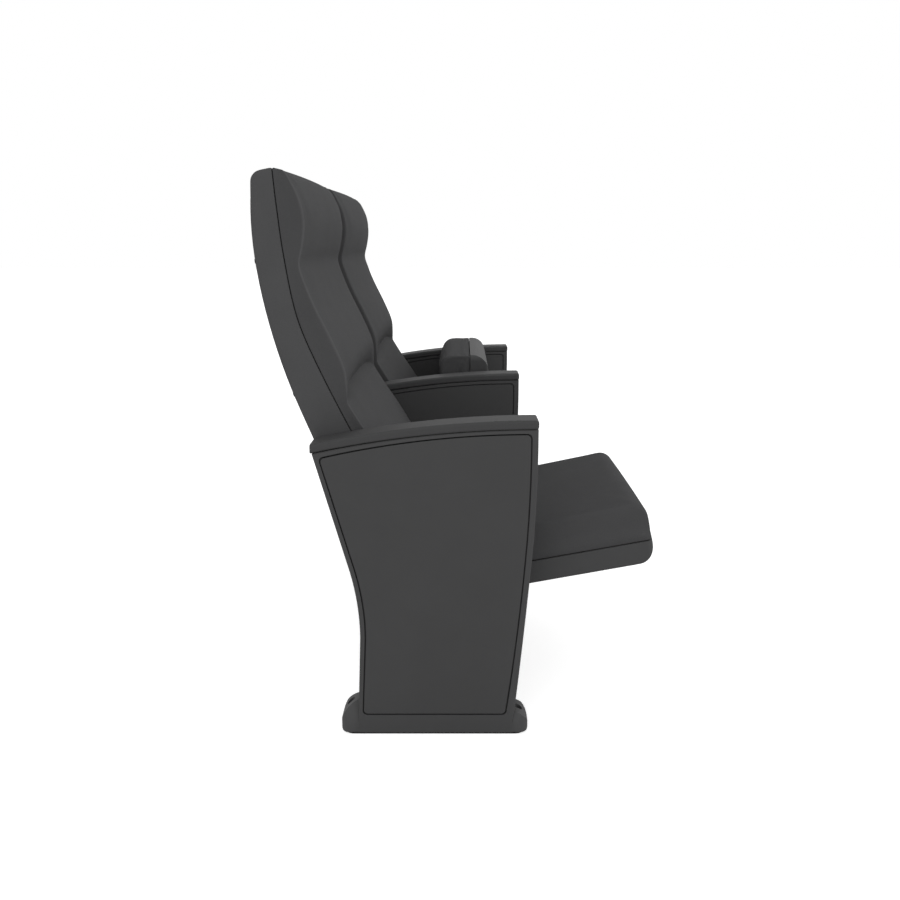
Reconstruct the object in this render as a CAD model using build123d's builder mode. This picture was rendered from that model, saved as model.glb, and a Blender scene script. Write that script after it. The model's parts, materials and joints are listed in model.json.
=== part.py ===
from build123d import *
import math
import os

# A row of two tip up auditorium seats on three standards, in millimetres.
# The origin is on the floor at the centre of the middle standard's foot.
# +X points to the front of the seats, +Y to the sitter's left and +Z up.
# Seat 1 (-Y) stands lowered and seat 2 (+Y) stands tipped up.

os.makedirs("parts", exist_ok=True)

# ---------------------------------------------------------------- driving sizes
SEAT_PITCH = 580.0  # centre to centre of neighbouring standards
STANDARD_THICK = 60.0
FIT_GAP = 0.3  # between pieces that seat on each other
RUN_GAP = 0.05  # radial, shaft in bush

# Standard, side outline
REAR_FOOT_X = -144.5
REAR_WAIST_X = -137.0
REAR_WAIST_Z = 195.0
REAR_ELBOW_X = -141.0
REAR_ELBOW_Z = 262.0
REAR_BEND_X = -153.5
REAR_BEND_Z = 325.0
REAR_TOP_X = -216.0
REAR_TOP_Z = 545.8
FRONT_FOOT_X = 146.0
FRONT_SHIN_X = 168.5
FRONT_SHIN_Z = 220.0
FRONT_KNEE_X = 183.0
FRONT_KNEE_Z = 385.0
FRONT_CHEST_X = 187.4
FRONT_CHEST_Z = 480.0
FRONT_TOP_X = 188.5
FRONT_TOP_Z = 589.6
ARM_RISE = 11.0  # rise of the armrest line above its chord
RIM_EDGE = 1.5  # chamfer round the rim

# Foot of the standard
FOOT_LENGTH = 355.0
FOOT_PLAN_R = 22.0
SOLE_R = 4.0
PAD_THICK = 3.0
PAD_INSET = 3.0
PAD_END_INSET = 6.0
REAR_WING_TOP = (-144.5, 64.0)  # where the rear wing leaves the rim
REAR_WING_MID = (-169.5, 43.5)
FRONT_WING_TOP = (150.0, 45.0)
FRONT_WING_MID = (172.0, 31.0)
WING_RIDGE_Z = 68.0  # the wings narrow from the sole up to this height
WING_RIDGE_HALF = 12.0
WING_FLANK_Z = 42.0
WING_FLANK_HALF = 25.0
FLOOR_BOLT_END = 17.5  # from the foot's end to the bolt
FLOOR_HOLE_R = 5.5
FLOOR_POCKET_R = 7.5
FLOOR_SEAT_Z = 20.0

# Side panels and the web behind them
PANEL_THICK = 6.0
PANEL_REAR_EDGE = 8.7
PANEL_FRONT_EDGE = 10.8
PANEL_TOP_EDGE = 6.6
PANEL_BOTTOM_Z = 40.0
PANEL_CORNER_R = 9.0
GROOVE_WIDTH = 2.2
LEDGE_WIDTH = 8.0
PANEL_EDGE_R = 1.0
WEB_THICK = 6.0
RIB_THICK = 5.0
RIB_PITCH = 96.0
PEG_R = 3.0
PEG_LENGTH = 8.0
PEG_BOSS_R = 7.0
PEG_POINTS = ((-105.0, 75.0), (120.0, 75.0), (-115.0, 300.0), (145.0, 500.0), (-5.0, 545.0))

# Armrest
ARM_THICK = 17.0
ARM_WIDTH = 62.0
ARM_OVERHANG_REAR = 3.0
ARM_OVERHANG_FRONT = 1.0
ARM_EDGE_R = 5.0
ARM_SCREW_XS = (-100.0, 125.0)
ARM_SCREW_Y = 15.0
ARM_SCREW_R = 2.5
ARM_SCREW_HEAD_R = 5.0
ARM_SCREW_HEAD = 3.0
ARM_SCREW_BITE = 9.0

# Seat hinge
HINGE_X = 75.0
HINGE_Z = 285.0
TILT_DOWN = 10.5  # seat slope when lowered, degrees
TILT_UP = 90.0
SHAFT_R = 10.0
SHAFT_REACH = 168.0  # end of a shaft, from the standard's centre plane
SHAFT_CHAMFER = 1.0
SHAFT_BOSS_R = 26.0
COLLAR_R = 16.0
COLLAR_THICK = 5.0
COVER_R = 27.0
COVER_TIP_R = 24.0
COVER_WALL = 3.0
COVER_CLEARANCE = 3.0

# Seat, in its own frame: hinge axis at the origin, X forward along the seam, Z square to it
SEAT_SIDE_GAP = 38.0
SEAT_FRONT = 353.0
SEAT_REAR = 96.0
SEAM_Z = 3.0
PAN_DEPTH = 46.0
PAN_FRONT_R = 40.0
PAN_REAR_R = 26.0
PAN_PLAN_R = 14.0
PAN_WALL = 4.0
PAN_EDGE_R = 8.0
CUSHION_THICK = 83.0
CUSHION_FRONT_R = 29.0
CUSHION_REAR_R = 26.0
CUSHION_SIDE_R = 10.0
CUSHION_DRAW = 4.0  # how far the cushion's ends stand in from the pan's
CUSHION_PULL = 0.6  # share of the side's fall by which the ends are drawn in
CUSHION_CROWN = 4.0
CUSHION_NOSE = 5.0
CUSHION_REAR_DROP = 12.0  # how much lower the cushion's top is at the rear
SEAT_BOARD_THICK = 10.0
SEAT_BOARD_INSET = 2.0
TUNNEL_R = 26.0
TUNNEL_INNER_Y = 112.0
BOARD_NOTCH_R = 38.0  # room in the board for the stop lugs
HUB_R = 22.0
HUB_LENGTH = 31.0
BUSH_WALL = 2.0
SIDE_BAR_THICK = 5.0
SIDE_BAR_Y = 192.5
SIDE_BAR_TOP = -8.0
SIDE_BAR_BOTTOM = -36.0
SIDE_BAR_REAR = -78.0
SIDE_BAR_FRONT = 296.0
CROSS_TUBE_WIDTH = 30.0
CROSS_TUBE_WALL = 2.5
CROSS_TUBE_XS = (-62.0, 272.0)
SEAT_SCREW_YS = (-130.0, 0.0, 130.0)
SEAT_SCREW_R = 3.0
SEAT_SCREW_HEAD_R = 6.0
SEAT_SCREW_HEAD = 3.0
SEAT_SCREW_COVER = 4.0  # board left above a screw's end
LEVER_THICK = 8.0
LEVER_Y = 167.0  # middle of the lever, from the seat's centre plane
LEVER_HUB_R = 15.0
LEVER_REACH = 34.0
LEVER_WIDTH = 14.0
BUFFER_THICK = 6.0
BUFFER_NEAR = 20.0
BUFFER_WIDTH = 10.0
STOP_LUG_THICK = 4.0
SPRING_R = 16.0
SPRING_WIRE_R = 1.8
SPRING_PITCH = 4.4
SPRING_TURNS = 6
WASHER_R = 20.0
WASHER_THICK = 2.0

# Back, side outline in the row's frame
BACK_SIDE_GAP = 7.0
BACK_TOP_DROP = 2.0  # the top edge falls this much from the middle to the sides
BACK_EDGE_R = 10.0
BACK_CROWN = 5.0
FOLD_SINK = 25.0  # how much deeper the fold under the lumbar roll lies in the middle than at the sides
FOLD_LIFT = 8.0
FOLD_REACH = 50.0  # the height over which the fold's depth dies away
FRONT_UPPER = ((-252.0, 1038.0), (-235.0, 1013.0), (-223.0, 980.0), (-219.5, 947.0), (-225.5, 907.0),
               (-233.5, 879.0), (-225.0, 850.0), (-204.0, 800.0), (-177.0, 745.0), (-155.0, 691.0),
               (-151.5, 655.0), (-153.0, 627.0))
FRONT_LOWER = ((-153.0, 627.0), (-128.0, 587.0), (-99.5, 546.0), (-71.0, 499.0), (-47.0, 448.0),
               (-40.0, 400.0), (-42.0, 374.0))
SEAM_LINE = ((-283.5, 1045.5), (-280.5, 978.0), (-270.5, 892.0), (-250.5, 787.0), (-218.5, 707.0),
             (-155.5, 578.0), (-113.0, 499.0), (-84.0, 425.0), (-76.0, 352.0))
REAR_LINE = ((-317.5, 1027.0), (-321.5, 980.0), (-317.5, 885.0), (-295.0, 763.0), (-254.0, 633.0),
             (-225.0, 562.0), (-190.0, 470.0), (-168.0, 390.0), (-163.0, 352.0))
REAR_TOP_CREST = (-304.0, 1042.5)
CUSHION_TOP_CREST = (-267.0, 1048.5)
CUSHION_BOTTOM_CREST = (-56.0, 354.0)
CUSHION_FULL_THICK = 40.0  # where the cushion is thinner than this, its edge is rounded less
BACK_BOARD_THICK = 12.0
BACK_BOARD_INSET = 14.0
BACK_BOARD_SETBACK = 1.0
BACK_BOARD_TOP = 1026.0
BACK_BOARD_BOTTOM = 366.0
BACK_BOARD_CORNER_R = 30.0
REAR_PANEL_THICK = 3.5
REAR_PANEL_PROUD = 1.8
REAR_PANEL_INSET = 12.0
REAR_PANEL_TOP = 1010.0
REAR_PANEL_BOTTOM = 364.0
REAR_PANEL_CORNER_R = 22.0
PANEL_SCREW_ZS = (410.0, 640.0, 883.0)
PANEL_SCREW_EDGE = 10.0
PANEL_SCREW_R = 2.2
PANEL_SCREW_HEAD_R = 4.5
PANEL_SCREW_HEAD = 2.0
PANEL_SCREW_BITE = 16.0

# Steel frame of the back
RAIL_R = 15.0
RAIL_WALL = 2.5
RAIL_ZS = (516.0, 402.0)  # heights on the seam line where the rails carry the board
RAIL_WELD = 1.5
LUG_THICK = 5.0
LUG_GAP = 0.5
LUG_WIDTH = 46.0
LUG_HEIGHT = 22.0
LUG_YS = (-130.0, 130.0)
BOARD_BOLT_R = 3.0
BOARD_BOLT_HEAD_R = 5.5
BOARD_BOLT_HEAD = 4.0
BOARD_BOLT_BITE = 9.0
PLATE_THICK = 4.0
PLATE_WIDTH = 60.0
PLATE_LENGTH = 196.0
PLATE_BOLT_END = 84.0
PLATE_BOLT_SIDE = 19.0
PLATE_BOLT_R = 4.0
PLATE_BOLT_HEAD_R = 7.5
PLATE_BOLT_HEAD = 2.5
PLATE_BOLT_BITE = 14.0
PLATE_BOSS_R = 11.0

# ---------------------------------------------------------------- worked out sizes
HALF_THICK = STANDARD_THICK / 2
HALF_FOOT = FOOT_LENGTH / 2
FLOOR_BOLT_SPACING = FOOT_LENGTH - 2 * FLOOR_BOLT_END
LEDGE_Y = HALF_THICK - PANEL_THICK - FIT_GAP
SEAT_HALF = SEAT_PITCH / 2 - HALF_THICK - SEAT_SIDE_GAP
BACK_HALF = SEAT_PITCH / 2 - HALF_THICK - BACK_SIDE_GAP
RAIL_HALF = SEAT_PITCH / 2 - HALF_THICK
STANDARD_YS = {"right": -SEAT_PITCH, "middle": 0.0, "left": SEAT_PITCH}
SEAT_YS = {"1": -SEAT_PITCH / 2, "2": SEAT_PITCH / 2}
SEAT_TILTS = {"1": TILT_DOWN, "2": TILT_UP}
LEVER_ANGLE = (TILT_DOWN + TILT_UP) / 2 - 90.0  # midway between the stops, below the axis
BUSH_BORE_R = SHAFT_R + RUN_GAP
BUSH_R = BUSH_BORE_R + BUSH_WALL
HUB_INNER_Y = SEAT_HALF - HUB_LENGTH
BUFFER_ASIDE = LEVER_WIDTH / 2 + FIT_GAP
BOTTOM = (Align.CENTER, Align.CENTER, Align.MIN)


# ---------------------------------------------------------------- helpers
def save(shape, name):
    shape.label = name
    export_step(shape, "parts/" + name + ".step")


def side_plane(y):
    """Side view plane at y: its X is the row's X, its Y is the row's Z, its normal is -Y."""
    return Plane(origin=(0, y, 0), x_dir=(1, 0, 0), z_dir=(0, -1, 0))


def across(x, z, y=0.0):
    """A place at (x, y, z) for a piece whose axis runs across the row."""
    return Location((x, y, z), (-90, 0, 0))


def turned(angle, along, aside):
    """A point given along and aside of a direction, in side view coordinates."""
    c = math.cos(math.radians(angle))
    s = math.sin(math.radians(angle))
    return (along * c - aside * s, along * s + aside * c)


def round_fall(edge, radius):
    """How far a rounded edge falls away at a distance from the side."""
    if edge >= radius:
        return 0.0
    return radius - math.sqrt(max(radius ** 2 - (radius - edge) ** 2, 0.0))


def stations(half, radius, middles):
    """Section places over the width: close together on the rounded sides."""
    sides = [half - radius * (1 - math.sin(math.radians(angle))) for angle in (86, 66, 44, 22, 0)]
    places = sides + [half * m for m in middles]
    return [-y for y in places] + [0.0] + places[::-1]


def shifted(points, distance):
    """Points of a line moved square to it, towards the rear."""
    moved = []
    for i, (x, z) in enumerate(points):
        x0, z0 = points[max(i - 1, 0)]
        x1, z1 = points[min(i + 1, len(points) - 1)]
        length = math.hypot(x1 - x0, z1 - z0)
        moved.append((x + (z1 - z0) / length * distance, z - (x1 - x0) / length * distance))
    return moved


SEAM_EDGE = Spline(*SEAM_LINE)


def seam_at(z):
    """Point on the seam line at a height, and the angle of its rearward normal."""
    low, high = 0.0, 1.0
    for _ in range(40):
        t = (low + high) / 2
        if SEAM_EDGE.position_at(t).Y > z:
            low = t
        else:
            high = t
    point = SEAM_EDGE.position_at(t)
    down = SEAM_EDGE.tangent_at(t)
    return (point.X, point.Y), math.degrees(math.atan2(-down.X, down.Y))


def behind_seam(z, distance):
    """The point at a distance behind the seam line, square to it."""
    (x, height), angle = seam_at(z)
    dx, dz = turned(angle, distance, 0)
    return (x + dx, height + dz)


RAIL_DEPTH = BACK_BOARD_SETBACK + BACK_BOARD_THICK + LUG_GAP + LUG_THICK + RAIL_R - RAIL_WELD
RAIL_POINTS = [behind_seam(z, RAIL_DEPTH) for z in RAIL_ZS]
PLATE_MID = ((RAIL_POINTS[0][0] + RAIL_POINTS[1][0]) / 2, (RAIL_POINTS[0][1] + RAIL_POINTS[1][1]) / 2)
PLATE_ANGLE = math.degrees(
    math.atan2(RAIL_POINTS[0][1] - RAIL_POINTS[1][1], RAIL_POINTS[0][0] - RAIL_POINTS[1][0])
)


def plate_point(along, aside):
    x, z = turned(PLATE_ANGLE, along, aside)
    return (PLATE_MID[0] + x, PLATE_MID[1] + z)


PLATE_POINTS = [
    plate_point(PLATE_BOLT_END, 0),
    plate_point(-PLATE_BOLT_END, 0),
    plate_point(0, PLATE_BOLT_SIDE),
    plate_point(0, -PLATE_BOLT_SIDE),
]


# ---------------------------------------------------------------- standards
def arm_line_points(rear_in, front_in, top_in):
    """Rear end, middle and front end of the line under the armrest, moved inwards."""
    slope = (REAR_TOP_X - REAR_BEND_X) / (REAR_TOP_Z - REAR_BEND_Z)
    rear = (REAR_TOP_X - slope * top_in + rear_in, REAR_TOP_Z - top_in)
    front = (FRONT_TOP_X - front_in, FRONT_TOP_Z - top_in)
    middle = ((rear[0] + front[0]) / 2, (rear[1] + front[1]) / 2 + ARM_RISE)
    return rear, middle, front


def arm_line_z(x, rear_in=0.0, front_in=0.0, top_in=0.0):
    """Height of the line under the armrest at x, moved inwards in the same way."""
    rear, middle, front = arm_line_points(rear_in, front_in, top_in)
    half = (front[0] - rear[0]) / 2
    chord = rear[1] + (front[1] - rear[1]) * (x - rear[0]) / (2 * half)
    return chord + ARM_RISE * (1 - ((x - middle[0]) / half) ** 2)


def standard_face(rear_in, front_in, top_in, bottom, corner_r):
    """The side outline of a standard as a face, moved inwards, with rounded corners."""
    rear, middle, front = arm_line_points(rear_in, front_in, top_in)
    heel = (REAR_FOOT_X + rear_in, bottom)
    waist = (REAR_WAIST_X + rear_in, REAR_WAIST_Z)
    elbow = (REAR_ELBOW_X + rear_in, REAR_ELBOW_Z)
    bend = (REAR_BEND_X + rear_in, REAR_BEND_Z)
    chest = (FRONT_CHEST_X - front_in, FRONT_CHEST_Z)
    knee = (FRONT_KNEE_X - front_in, FRONT_KNEE_Z)
    shin = (FRONT_SHIN_X - front_in, FRONT_SHIN_Z)
    toe = (FRONT_FOOT_X - front_in, bottom)
    with BuildSketch() as face:
        with BuildLine():
            Line(heel, waist)
            ThreePointArc(waist, elbow, bend)
            Line(bend, rear)
            ThreePointArc(rear, middle, front)
            ThreePointArc(front, chest, knee)
            ThreePointArc(knee, shin, toe)
            Line(toe, heel)
        make_face()
        if corner_r > 0:
            corners = [face.vertices().sort_by_distance(corner)[0] for corner in (heel, rear, front, toe)]
            fillet(corners, corner_r)
    return face.sketch


def foot_face():
    """The side outline of the foot and its wings as a face."""
    with BuildSketch() as face:
        with BuildLine():
            sole = Line((-HALF_FOOT + SOLE_R, PAD_THICK), (HALF_FOOT - SOLE_R, PAD_THICK))
            toe = JernArc(sole @ 1, (1, 0), SOLE_R, 90)
            heel = JernArc(sole @ 0, (-1, 0), SOLE_R, -90)
            ThreePointArc(toe @ 1, FRONT_WING_MID, FRONT_WING_TOP)
            ThreePointArc(heel @ 1, REAR_WING_MID, REAR_WING_TOP)
            Polyline(
                FRONT_WING_TOP,
                (FRONT_FOOT_X - LEDGE_WIDTH, FRONT_WING_TOP[1]),
                (REAR_FOOT_X + LEDGE_WIDTH, REAR_WING_TOP[1]),
                REAR_WING_TOP,
            )
        make_face()
    return face.sketch


def foot_end_face():
    """The foot seen from its end as a face: full width at the floor, narrow at the ridge."""
    with BuildSketch() as face:
        with BuildLine():
            Line((-HALF_THICK + SOLE_R, PAD_THICK), (HALF_THICK - SOLE_R, PAD_THICK))
            for side, turn in ((1, 90), (-1, -90)):
                corner = JernArc((side * (HALF_THICK - SOLE_R), PAD_THICK), (side, 0), SOLE_R, turn)
                ThreePointArc(
                    corner @ 1, (side * WING_FLANK_HALF, WING_FLANK_Z), (side * WING_RIDGE_HALF, WING_RIDGE_Z)
                )
            Line((-WING_RIDGE_HALF, WING_RIDGE_Z), (WING_RIDGE_HALF, WING_RIDGE_Z))
        make_face()
    return face.sketch


def make_rim():
    with BuildPart() as rim:
        with BuildSketch(Plane.XZ):
            add(standard_face(0, 0, 0, PAD_THICK, 0))
        extrude(amount=HALF_THICK, both=True)
        chamfer(rim.faces().sort_by(Axis.Y)[0].edges(), RIM_EDGE)
        chamfer(rim.faces().sort_by(Axis.Y)[-1].edges(), RIM_EDGE)
    return rim.part


def make_foot():
    with BuildPart() as foot:
        with BuildSketch(Plane.XZ):
            add(foot_face())
        extrude(amount=HALF_THICK, both=True)
        with BuildSketch(Plane.XY):
            RectangleRounded(FOOT_LENGTH, STANDARD_THICK, FOOT_PLAN_R)
        extrude(amount=WING_RIDGE_Z + PAD_THICK, mode=Mode.INTERSECT)
        with BuildSketch(Plane.YZ):
            add(foot_end_face())
        extrude(amount=FOOT_LENGTH, both=True, mode=Mode.INTERSECT)
    return foot.part


def make_web_cells():
    """The hollow cells on both faces of the web, between the rim, the ribs and the bosses."""
    with BuildPart() as cells:
        for side in (-1, 1):
            with BuildSketch(side_plane(side * WEB_THICK / 2)):
                add(standard_face(
                    PANEL_REAR_EDGE + LEDGE_WIDTH,
                    PANEL_FRONT_EDGE + LEDGE_WIDTH,
                    PANEL_TOP_EDGE + LEDGE_WIDTH,
                    PANEL_BOTTOM_Z + LEDGE_WIDTH,
                    PANEL_CORNER_R,
                ))
                with Locations(*PLATE_POINTS):
                    Circle(PLATE_BOSS_R, mode=Mode.SUBTRACT)
                with Locations(*PEG_POINTS):
                    Circle(PEG_BOSS_R, mode=Mode.SUBTRACT)
                with Locations((HINGE_X, HINGE_Z)):
                    Circle(SHAFT_BOSS_R, mode=Mode.SUBTRACT)
                for step in (-2, -1, 0, 1):
                    with Locations((HINGE_X + step * RIB_PITCH, HINGE_Z)):
                        Rectangle(RIB_THICK, 2 * FRONT_TOP_Z, mode=Mode.SUBTRACT)
                for step in (-2, -1, 0, 1, 2):
                    with Locations((0, HINGE_Z + step * RIB_PITCH)):
                        Rectangle(2 * FRONT_TOP_Z, RIB_THICK, mode=Mode.SUBTRACT)
            extrude(amount=-side * (LEDGE_Y - WEB_THICK / 2 + FIT_GAP))
    return cells.part


def make_standard_frame():
    rim = make_rim()
    foot = make_foot()
    cells = make_web_cells()
    with BuildPart() as frame:
        add(rim)
        add(foot)
        for side in (-1, 1):
            with BuildSketch(side_plane(side * LEDGE_Y)):
                add(standard_face(
                    PANEL_REAR_EDGE, PANEL_FRONT_EDGE, PANEL_TOP_EDGE, PANEL_BOTTOM_Z, PANEL_CORNER_R
                ))
            extrude(amount=-side * (PANEL_THICK + FIT_GAP + RIM_EDGE), mode=Mode.SUBTRACT)
        add(cells, mode=Mode.SUBTRACT)
        with Locations(across(HINGE_X, HINGE_Z)):
            Cylinder(SHAFT_R + RUN_GAP, STANDARD_THICK, mode=Mode.SUBTRACT)
        for side in (-1, 1):
            with Locations(across(HINGE_X, HINGE_Z, side * LEDGE_Y)):
                Cylinder(COLLAR_R + FIT_GAP, 2 * (COLLAR_THICK + 2 * FIT_GAP), mode=Mode.SUBTRACT)
            with Locations(*[across(x, z, side * (LEDGE_Y - PLATE_BOLT_BITE / 2)) for x, z in PLATE_POINTS]):
                Cylinder(PLATE_BOLT_R + RUN_GAP, PLATE_BOLT_BITE + 2 * FIT_GAP, mode=Mode.SUBTRACT)
            with Locations(*[across(x, z, side * LEDGE_Y) for x, z in PEG_POINTS]):
                Cylinder(PEG_R + RUN_GAP, 2 * PEG_LENGTH + 2 * FIT_GAP, mode=Mode.SUBTRACT)
            with Locations(*[(x, side * ARM_SCREW_Y, arm_line_z(x)) for x in ARM_SCREW_XS]):
                Cylinder(ARM_SCREW_R + RUN_GAP, 6 * LEDGE_WIDTH, mode=Mode.SUBTRACT)
            with Locations((side * FLOOR_BOLT_SPACING / 2, 0, 0)):
                Cylinder(FLOOR_HOLE_R, WING_RIDGE_Z, align=BOTTOM, mode=Mode.SUBTRACT)
            with Locations((side * FLOOR_BOLT_SPACING / 2, 0, FLOOR_SEAT_Z)):
                Cylinder(FLOOR_POCKET_R, WING_RIDGE_Z, align=BOTTOM, mode=Mode.SUBTRACT)
    return frame.part


def make_side_panel(pierced):
    """A side panel for the +Y face of a standard, with its pegs."""
    with BuildPart() as panel:
        with BuildSketch(side_plane(LEDGE_Y + FIT_GAP)):
            add(standard_face(
                PANEL_REAR_EDGE + GROOVE_WIDTH,
                PANEL_FRONT_EDGE + GROOVE_WIDTH,
                PANEL_TOP_EDGE + GROOVE_WIDTH,
                PANEL_BOTTOM_Z + GROOVE_WIDTH,
                PANEL_CORNER_R - GROOVE_WIDTH / 2,
            ))
        extrude(amount=-PANEL_THICK)
        fillet(panel.faces().sort_by(Axis.Y)[-1].edges(), PANEL_EDGE_R)
        with Locations(*[across(x, z, LEDGE_Y + FIT_GAP) for x, z in PEG_POINTS]):
            Cylinder(PEG_R, 2 * PEG_LENGTH, mode=Mode.ADD)
        with BuildSketch(side_plane(HALF_THICK)):
            add(standard_face(0, 0, 0, 0, 0))
        extrude(amount=-PEG_LENGTH, mode=Mode.SUBTRACT)
        if pierced:
            with Locations(across(HINGE_X, HINGE_Z, HALF_THICK)):
                Cylinder(SHAFT_R + FIT_GAP, 3 * PANEL_THICK, mode=Mode.SUBTRACT)
            with Locations(*[across(x, z, HALF_THICK) for x, z in PLATE_POINTS]):
                Cylinder(PLATE_BOLT_R + FIT_GAP, 3 * PANEL_THICK, mode=Mode.SUBTRACT)
    return panel.part


def make_armrest():
    rear, middle, front = arm_line_points(-ARM_OVERHANG_REAR, -ARM_OVERHANG_FRONT, 0)
    with BuildPart() as armrest:
        with BuildSketch(Plane.XZ):
            with BuildLine():
                lower = ThreePointArc(*[(x, z + FIT_GAP) for x, z in (rear, middle, front)])
                upper = ThreePointArc(*[(x, z + ARM_THICK) for x, z in (rear, middle, front)])
                Line(lower @ 0, upper @ 0)
                Line(lower @ 1, upper @ 1)
            make_face()
        extrude(amount=ARM_WIDTH / 2, both=True)
        fillet(armrest.edges().filter_by(Axis.Y).sort_by(Axis.Z)[-2:], ARM_EDGE_R)
        fillet(armrest.edges().filter_by(GeomType.CIRCLE).group_by(Axis.Z)[-1], ARM_EDGE_R)
        for side in (-1, 1):
            with Locations(*[(x, side * ARM_SCREW_Y, arm_line_z(x)) for x in ARM_SCREW_XS]):
                Cylinder(ARM_SCREW_R + RUN_GAP, 2 * ARM_SCREW_BITE, mode=Mode.SUBTRACT)
    return armrest.part


def make_arm_screws():
    """Screws up through the tops of the rims into the armrests."""
    with BuildPart() as screws:
        for y in STANDARD_YS.values():
            for x in ARM_SCREW_XS:
                cell_top = arm_line_z(
                    x,
                    PANEL_REAR_EDGE + LEDGE_WIDTH,
                    PANEL_FRONT_EDGE + LEDGE_WIDTH,
                    PANEL_TOP_EDGE + LEDGE_WIDTH,
                )
                fall = ARM_SCREW_HEAD_R * abs(arm_line_z(x + 1) - arm_line_z(x))
                head_z = cell_top - ARM_SCREW_HEAD - fall - FIT_GAP
                length = arm_line_z(x) + ARM_SCREW_BITE - head_z - FIT_GAP
                with Locations((x, y - ARM_SCREW_Y, head_z), (x, y + ARM_SCREW_Y, head_z)):
                    Cylinder(ARM_SCREW_R, length, align=BOTTOM)
                    Cylinder(ARM_SCREW_HEAD_R, ARM_SCREW_HEAD, align=BOTTOM)
    return screws.part


def make_foot_pad():
    with BuildPart() as pad:
        with BuildSketch(Plane.XY):
            RectangleRounded(
                FOOT_LENGTH - 2 * PAD_END_INSET, STANDARD_THICK - 2 * PAD_INSET, FOOT_PLAN_R - PAD_INSET
            )
            with Locations((-FLOOR_BOLT_SPACING / 2, 0), (FLOOR_BOLT_SPACING / 2, 0)):
                Circle(FLOOR_HOLE_R, mode=Mode.SUBTRACT)
        extrude(amount=PAD_THICK)
    return pad.part


# ---------------------------------------------------------------- hinge pieces on the standards
def make_pivot_shaft(reach_right, reach_left):
    """A shaft across one standard, with its collar on the +Y side or, at the left end, on -Y."""
    collar_side = -1 if reach_left < reach_right else 1
    with BuildPart() as shaft:
        with Locations(across(HINGE_X, HINGE_Z, (reach_left - reach_right) / 2)):
            Cylinder(SHAFT_R, reach_left + reach_right)
        chamfer(shaft.edges().filter_by(GeomType.CIRCLE), SHAFT_CHAMFER)
        with Locations(across(HINGE_X, HINGE_Z, collar_side * (LEDGE_Y - FIT_GAP - COLLAR_THICK / 2))):
            Cylinder(COLLAR_R, COLLAR_THICK)
    return shaft.part


def make_pivot_nut(side):
    """The nut that holds a shaft on the other side of the web."""
    with BuildPart() as nut:
        with BuildSketch(side_plane(side * (LEDGE_Y - FIT_GAP - COLLAR_THICK))):
            with Locations((HINGE_X, HINGE_Z)):
                RegularPolygon(COLLAR_R, 6)
                Circle(SHAFT_R + RUN_GAP, mode=Mode.SUBTRACT)
        extrude(amount=-side * COLLAR_THICK)
    return nut.part


def make_pivot_cover():
    """The moulded sleeve that hides a shaft between the standard and the seat, axis along Y."""
    length = SEAT_SIDE_GAP - COVER_CLEARANCE
    with BuildPart() as cover:
        with BuildSketch(Plane.XY):
            with BuildLine():
                Polyline(
                    (COLLAR_R + FIT_GAP, 0),
                    (COVER_R, 0),
                    (COVER_R, COVER_WALL),
                    (COVER_TIP_R, length - COVER_WALL),
                    (COVER_TIP_R - COVER_WALL, length),
                    (SHAFT_R + FIT_GAP, length),
                    (SHAFT_R + FIT_GAP, length - COVER_WALL),
                    (COLLAR_R + FIT_GAP, length - 2 * COVER_WALL),
                    close=True,
                )
            make_face()
        revolve(axis=Axis.Y)
    return cover.part


def make_stop_lever():
    """The lever pinned to a shaft; the seat's buffers meet it at both ends of the tilt."""
    with BuildPart() as lever:
        with BuildSketch(side_plane(LEVER_THICK / 2)):
            Circle(LEVER_HUB_R)
            with Locations(turned(LEVER_ANGLE, LEVER_REACH / 2, 0)):
                Rectangle(LEVER_REACH, LEVER_WIDTH, rotation=LEVER_ANGLE)
            Circle(SHAFT_R + RUN_GAP, mode=Mode.SUBTRACT)
        extrude(amount=LEVER_THICK)
    return lever.part


def make_return_spring(side):
    """A torsion spring round a shaft's end, wound inwards from the stop lever."""
    start = LEVER_Y - LEVER_THICK / 2 - FIT_GAP - SPRING_WIRE_R

    def point(quarters):
        angle = math.radians(90 * quarters)
        y = side * (start - SPRING_PITCH * quarters / 4)
        return (SPRING_R * math.cos(angle), y, SPRING_R * math.sin(angle))

    with BuildPart() as spring:
        with BuildLine() as coil:
            for quarter in range(4 * SPRING_TURNS):
                ThreePointArc(point(quarter), point(quarter + 0.5), point(quarter + 1))
        with BuildSketch(Plane(origin=point(0), x_dir=(1, 0, 0), z_dir=coil.line % 0)):
            Circle(SPRING_WIRE_R)
        sweep(path=coil.line)
    return spring.part


def make_spring_washer():
    with BuildPart() as washer:
        with Locations(across(0, 0)):
            Cylinder(WASHER_R, WASHER_THICK)
            Cylinder(SHAFT_R + RUN_GAP, 2 * WASHER_THICK, mode=Mode.SUBTRACT)
    return washer.part


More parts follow.
